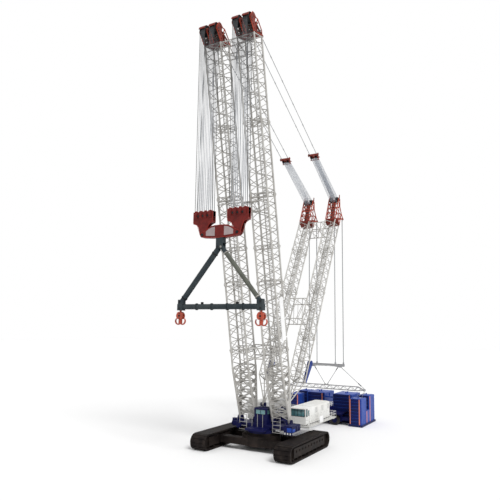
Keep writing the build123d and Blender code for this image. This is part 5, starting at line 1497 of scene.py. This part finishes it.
teal_glass = bpy.data.materials.new("teal_glass")
teal_glass.use_nodes = True
glass_shader = teal_glass.node_tree.nodes["Principled BSDF"]
glass_shader.inputs["Base Color"].default_value = (0.13, 0.31, 0.34, 1)
glass_shader.inputs["Roughness"].default_value = 0.07
glass_shader.inputs["Coat Weight"].default_value = 0.6
glass_shader.inputs["IOR"].default_value = 1.5
glass_shader.inputs["Transmission Weight"].default_value = 0.25
seal_and_gap_shade_black = weathered("rubber_seal_and_gap_shade", (0.015, 0.015, 0.016), (0.040, 0.040, 0.040), 0.3, 0.6, 60, 0.05)


def seal_ring(low, high, sill, lintel, wide):
    """The four strips of a window seal: each one's ends along the wall and its low and high edge."""
    return [(low, high, sill, sill + wide), (low, high, lintel - wide, lintel),
            (low, low + wide, sill, lintel), (high - wide, high, sill, lintel)]


repaint("centre_cabin", navy)
glass, seals, panels = bmesh.new(), bmesh.new(), bmesh.new()
slab(glass, (0.048, -0.0885, CABIN_PANE[0]), (0.051, 0.0885, CABIN_PANE[1]))
for y0, y1, z0, z1 in (*seal_ring(-CABIN_HALF, CABIN_HALF, CABIN_SILL, CABIN_LINTEL, SEAL_WIDE),
                       (-0.0025, 0.0025, 0.560, 0.632)):
    slab(seals, (0.053, y0, z0), (0.0572, y1, z1), 0.0008)
for s in (-1, 1):
    sided(glass, s, (-0.1185, 0.1095, CABIN_PANE[0]), (0.0235, 0.1125, CABIN_PANE[1]))
    for x0, x1, z0, z1 in seal_ring(-0.124, 0.029, CABIN_SILL, CABIN_LINTEL, SEAL_WIDE):
        sided(seals, s, (x0, 0.1165, z0), (x1, 0.1195, z1), 0.0006)
slab(panels, (-0.194, -0.122, 0.6548), (0.0575, 0.122, 0.6600), 0.0015)
for x in (-0.12, -0.05):
    slab(panels, (x, -0.08, 0.6598), (x + 0.04, 0.08, 0.672), 0.003)
for y in (-0.06, 0.0, 0.06):
    slab(panels, (0.0548, y - 0.025, 0.43), (0.0570, y + 0.025, 0.535), 0.0008)
piece("centre_cabin_glass", glass, teal_glass, "superstructure")
piece("centre_cabin_seals", seals, seal_and_gap_shade_black, "superstructure")
piece("centre_cabin_panels", panels, navy, "superstructure")


# The houses beside the deck: boxes of pressed-steel panels with seams, louvres, latches
# and roof hatches, painted white and streaked by rain. The left one carries the cab at
# its front end.
HOUSE_OUT = 0.602
HOUSE_REAR = -1.590
HOUSES = (
    # side, front end, bays
    (1, -0.712, 6),
    (-1, -0.560, 7),
)
PANEL_LOW, PANEL_HIGH = 0.366, 0.628
PANEL_SEAM = 0.004
LOUVRES, LOUVRE_FROM, LOUVRE_STEP = 9, 0.52, 0.0105
VENTS = (-1.45, -1.15, -0.85)
GAP_LOW, GAP_HIGH = 0.353, 0.366

house_white = weathered("house_paint", (0.80, 0.80, 0.78), (0.52, 0.49, 0.44), 0.32, 0.34, 12, 0.05, 0.0, 0.6)
deck_grey = weathered("walkway_paint", (0.60, 0.60, 0.58), (0.36, 0.34, 0.31), 0.5, 0.5, 40, 0.15)
louvre_grey = weathered("louvre_paint", (0.46, 0.46, 0.45), (0.26, 0.25, 0.24), 0.4, 0.45, 40, 0.05)
for node in ("machine_house", "engine_house", "cab", "cab_door"):
    repaint(node, house_white)
repaint("walkway", deck_grey)
panels, gaps = bmesh.new(), bmesh.new()
for s, front, bays in HOUSES:
    step = (front - HOUSE_REAR) / bays
    for k in range(bays):
        x0, x1 = HOUSE_REAR + k * step + PANEL_SEAM, HOUSE_REAR + (k + 1) * step - PANEL_SEAM
        sided(panels, s, (x0, HOUSE_OUT - 0.0005, PANEL_LOW), (x1, HOUSE_OUT + 0.0028, PANEL_HIGH), 0.001)
        if k % 2 == 0:
            for j in range(LOUVRES):
                z = LOUVRE_FROM + j * LOUVRE_STEP
                sided(gaps, s, (x0 + 0.02, HOUSE_OUT + 0.0022, z),
                      (x1 - 0.02, HOUSE_OUT + 0.0042, z + 0.0045))
        sided(panels, s, (x0 + 0.03, 0.335, 0.6458), (x1 - 0.03, 0.575, 0.6500), 0.0012)
        sided(gaps, s, (x1 - 0.018, HOUSE_OUT + 0.0026, 0.475), (x1 - 0.012, HOUSE_OUT + 0.0060, 0.500),
              0.001)
for y0, y1 in ((0.312, 0.448), (0.456, 0.592)):
    for s in (-1, 1):
        sided(panels, s, (-1.5928, y0, PANEL_LOW), (-1.5896, y1, PANEL_HIGH), 0.001)
slab(panels, (-0.5604, -0.592, PANEL_LOW), (-0.5572, -0.312, PANEL_HIGH), 0.001)
for x in VENTS:
    tube(panels, (x, -0.45, 0.645), (x, -0.45, 0.672), 0.022, 20)
piece("house_panels", panels, house_white, "superstructure")
piece("house_louvres", gaps, louvre_grey, "superstructure")
# Black strips along the bottoms of the houses: painted shade for the dark gap between each house and the
# walkway.
bm = bmesh.new()
for s, x1 in ((1, -0.650), (-1, -0.565)):
    sided(bm, s, (-1.588, HOUSE_OUT - 0.001, GAP_LOW), (x1, HOUSE_OUT + 0.0035, GAP_HIGH))
slab(bm, (-0.4712, 0.306, GAP_LOW), (-0.4680, 0.598, 0.362))
slab(bm, (-0.562, 0.6010, GAP_LOW), (-0.474, 0.6036, GAP_HIGH))
piece("house_bottom_gap_shade", bm, seal_and_gap_shade_black, "superstructure")


# The blank plate on the walkway's rail: a bare steel sheet, painted white and clipped to
# the outside of the posts.
bm = bmesh.new()
slab(bm, (-1.030, 0.7000, 0.3560), (-0.860, 0.7030, 0.4640), 0.0006)
piece("walkway_blank_plate", bm, sign_white, "superstructure")


# The cab at the left house's front end: toughened teal glass in black rubber seals, on
# the front, on both sides and in the door, which turns on the body of its own hinge.
WINDOWS = (
    # axis across the pane, plane, low and high along the wall, outward
    ("x", -0.4700, 0.320, 0.584, 1),
    ("y", 0.6020, -0.545, -0.488, 1),
    ("y", 0.3020, -0.640, -0.488, -1),
)
SILL, LINTEL = 0.498, 0.620
MULLIONS = (0.386, 0.452, 0.518)
PANE_IN = 0.003
FRAME_OVER = 0.004
DOOR_WINDOW = (-0.629, -0.571, 0.500, 0.593)

glass, seals = bmesh.new(), bmesh.new()
for axis, plane, low, high, out in WINDOWS:
    panes = [(glass, low + PANE_IN, high - PANE_IN, SILL + PANE_IN, LINTEL - PANE_IN,
              -0.0085 * out, -0.0055 * out)]
    left, right = low - FRAME_OVER, high + FRAME_OVER
    edges = [(left, right, SILL - FRAME_OVER, SILL + PANE_IN),
             (left, right, LINTEL - PANE_IN, LINTEL + PANE_IN),
             (left, low + PANE_IN, SILL, LINTEL), (high - PANE_IN, right, SILL, LINTEL)]
    if axis == "x":
        edges += [(y - 0.0025, y + 0.0025, SILL, LINTEL) for y in MULLIONS]
        edges += [(low, high, 0.5905, 0.5945)]
    panes += [(seals, *edge, -0.0012 * out, 0.0016 * out) for edge in edges]
    for bm, a, b, z0, z1, near, far in panes:
        near, far = sorted((plane + near, plane + far))
        low_xy, high_xy = ((near, a), (far, b)) if axis == "x" else ((a, near), (b, far))
        slab(bm, (*low_xy, z0), (*high_xy, z1), 0.0005)
piece("cab_glass", glass, teal_glass, "superstructure")
piece("cab_seals", seals, seal_and_gap_shade_black, "superstructure")
bm = bmesh.new()
slab(bm, (-0.6235, 0.5925, 0.5055), (-0.5765, 0.5955, 0.5875))
piece("cab_door_glass", bm, teal_glass, "cab_door")
bm = bmesh.new()
for x0, x1, z0, z1 in seal_ring(*DOOR_WINDOW, SEAL_WIDE):
    slab(bm, (x0, 0.6015, z0), (x1, 0.6035, z1), 0.0006)
piece("cab_door_seals", bm, seal_and_gap_shade_black, "cab_door")


# The rails of the walkway along the left house: white steel tube with a knee rail and
# posts welded to the chequer plate, a bent double bumper pipe round the front corner, and
# short rails on the carrier's guide frame.
WALK_Z = 0.352
WALK_RAIL = 0.105
WALK_REAR, WALK_FRONT, WALK_OUT, WALK_IN = -1.685, -0.405, 0.696, 0.31
GUIDE_Z, GUIDE_RAIL = 0.400, 0.075
BUMPER_X, BUMPER_R = -0.392, 0.0055

bm = bmesh.new()
railing(bm, [(WALK_REAR, WALK_OUT, WALK_Z), (WALK_FRONT, WALK_OUT, WALK_Z)], WALK_RAIL, 0.107)
for x in (WALK_FRONT, WALK_REAR):
    railing(bm, [(x, WALK_OUT, WALK_Z), (x, WALK_IN, WALK_Z)], WALK_RAIL, 0.1)
for z in (0.300, 0.328):
    pipe_run(bm, [(BUMPER_X, 0.560, z), (BUMPER_X, 0.706, z)], BUMPER_R)
    pipe_run(bm, [(BUMPER_X, 0.706, z), (-0.520, 0.706, z - 0.014), (-0.560, 0.690, z - 0.014)], BUMPER_R)
tube(bm, (BUMPER_X, 0.706, 0.300), (BUMPER_X, 0.706, WALK_Z), BUMPER_R)
for x in (-2.70, -2.62):
    railing(bm, [(x, 0.19, GUIDE_Z), (x, 0.25, GUIDE_Z)], GUIDE_RAIL, 0.06)
railing(bm, [(-2.70, 0.25, GUIDE_Z), (-2.30, 0.25, GUIDE_Z)], GUIDE_RAIL, 0.10)
piece("walkway_rails", bm, rail_white, "superstructure")


# The bounds of the dressed scene are taken at the end.
low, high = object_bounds()
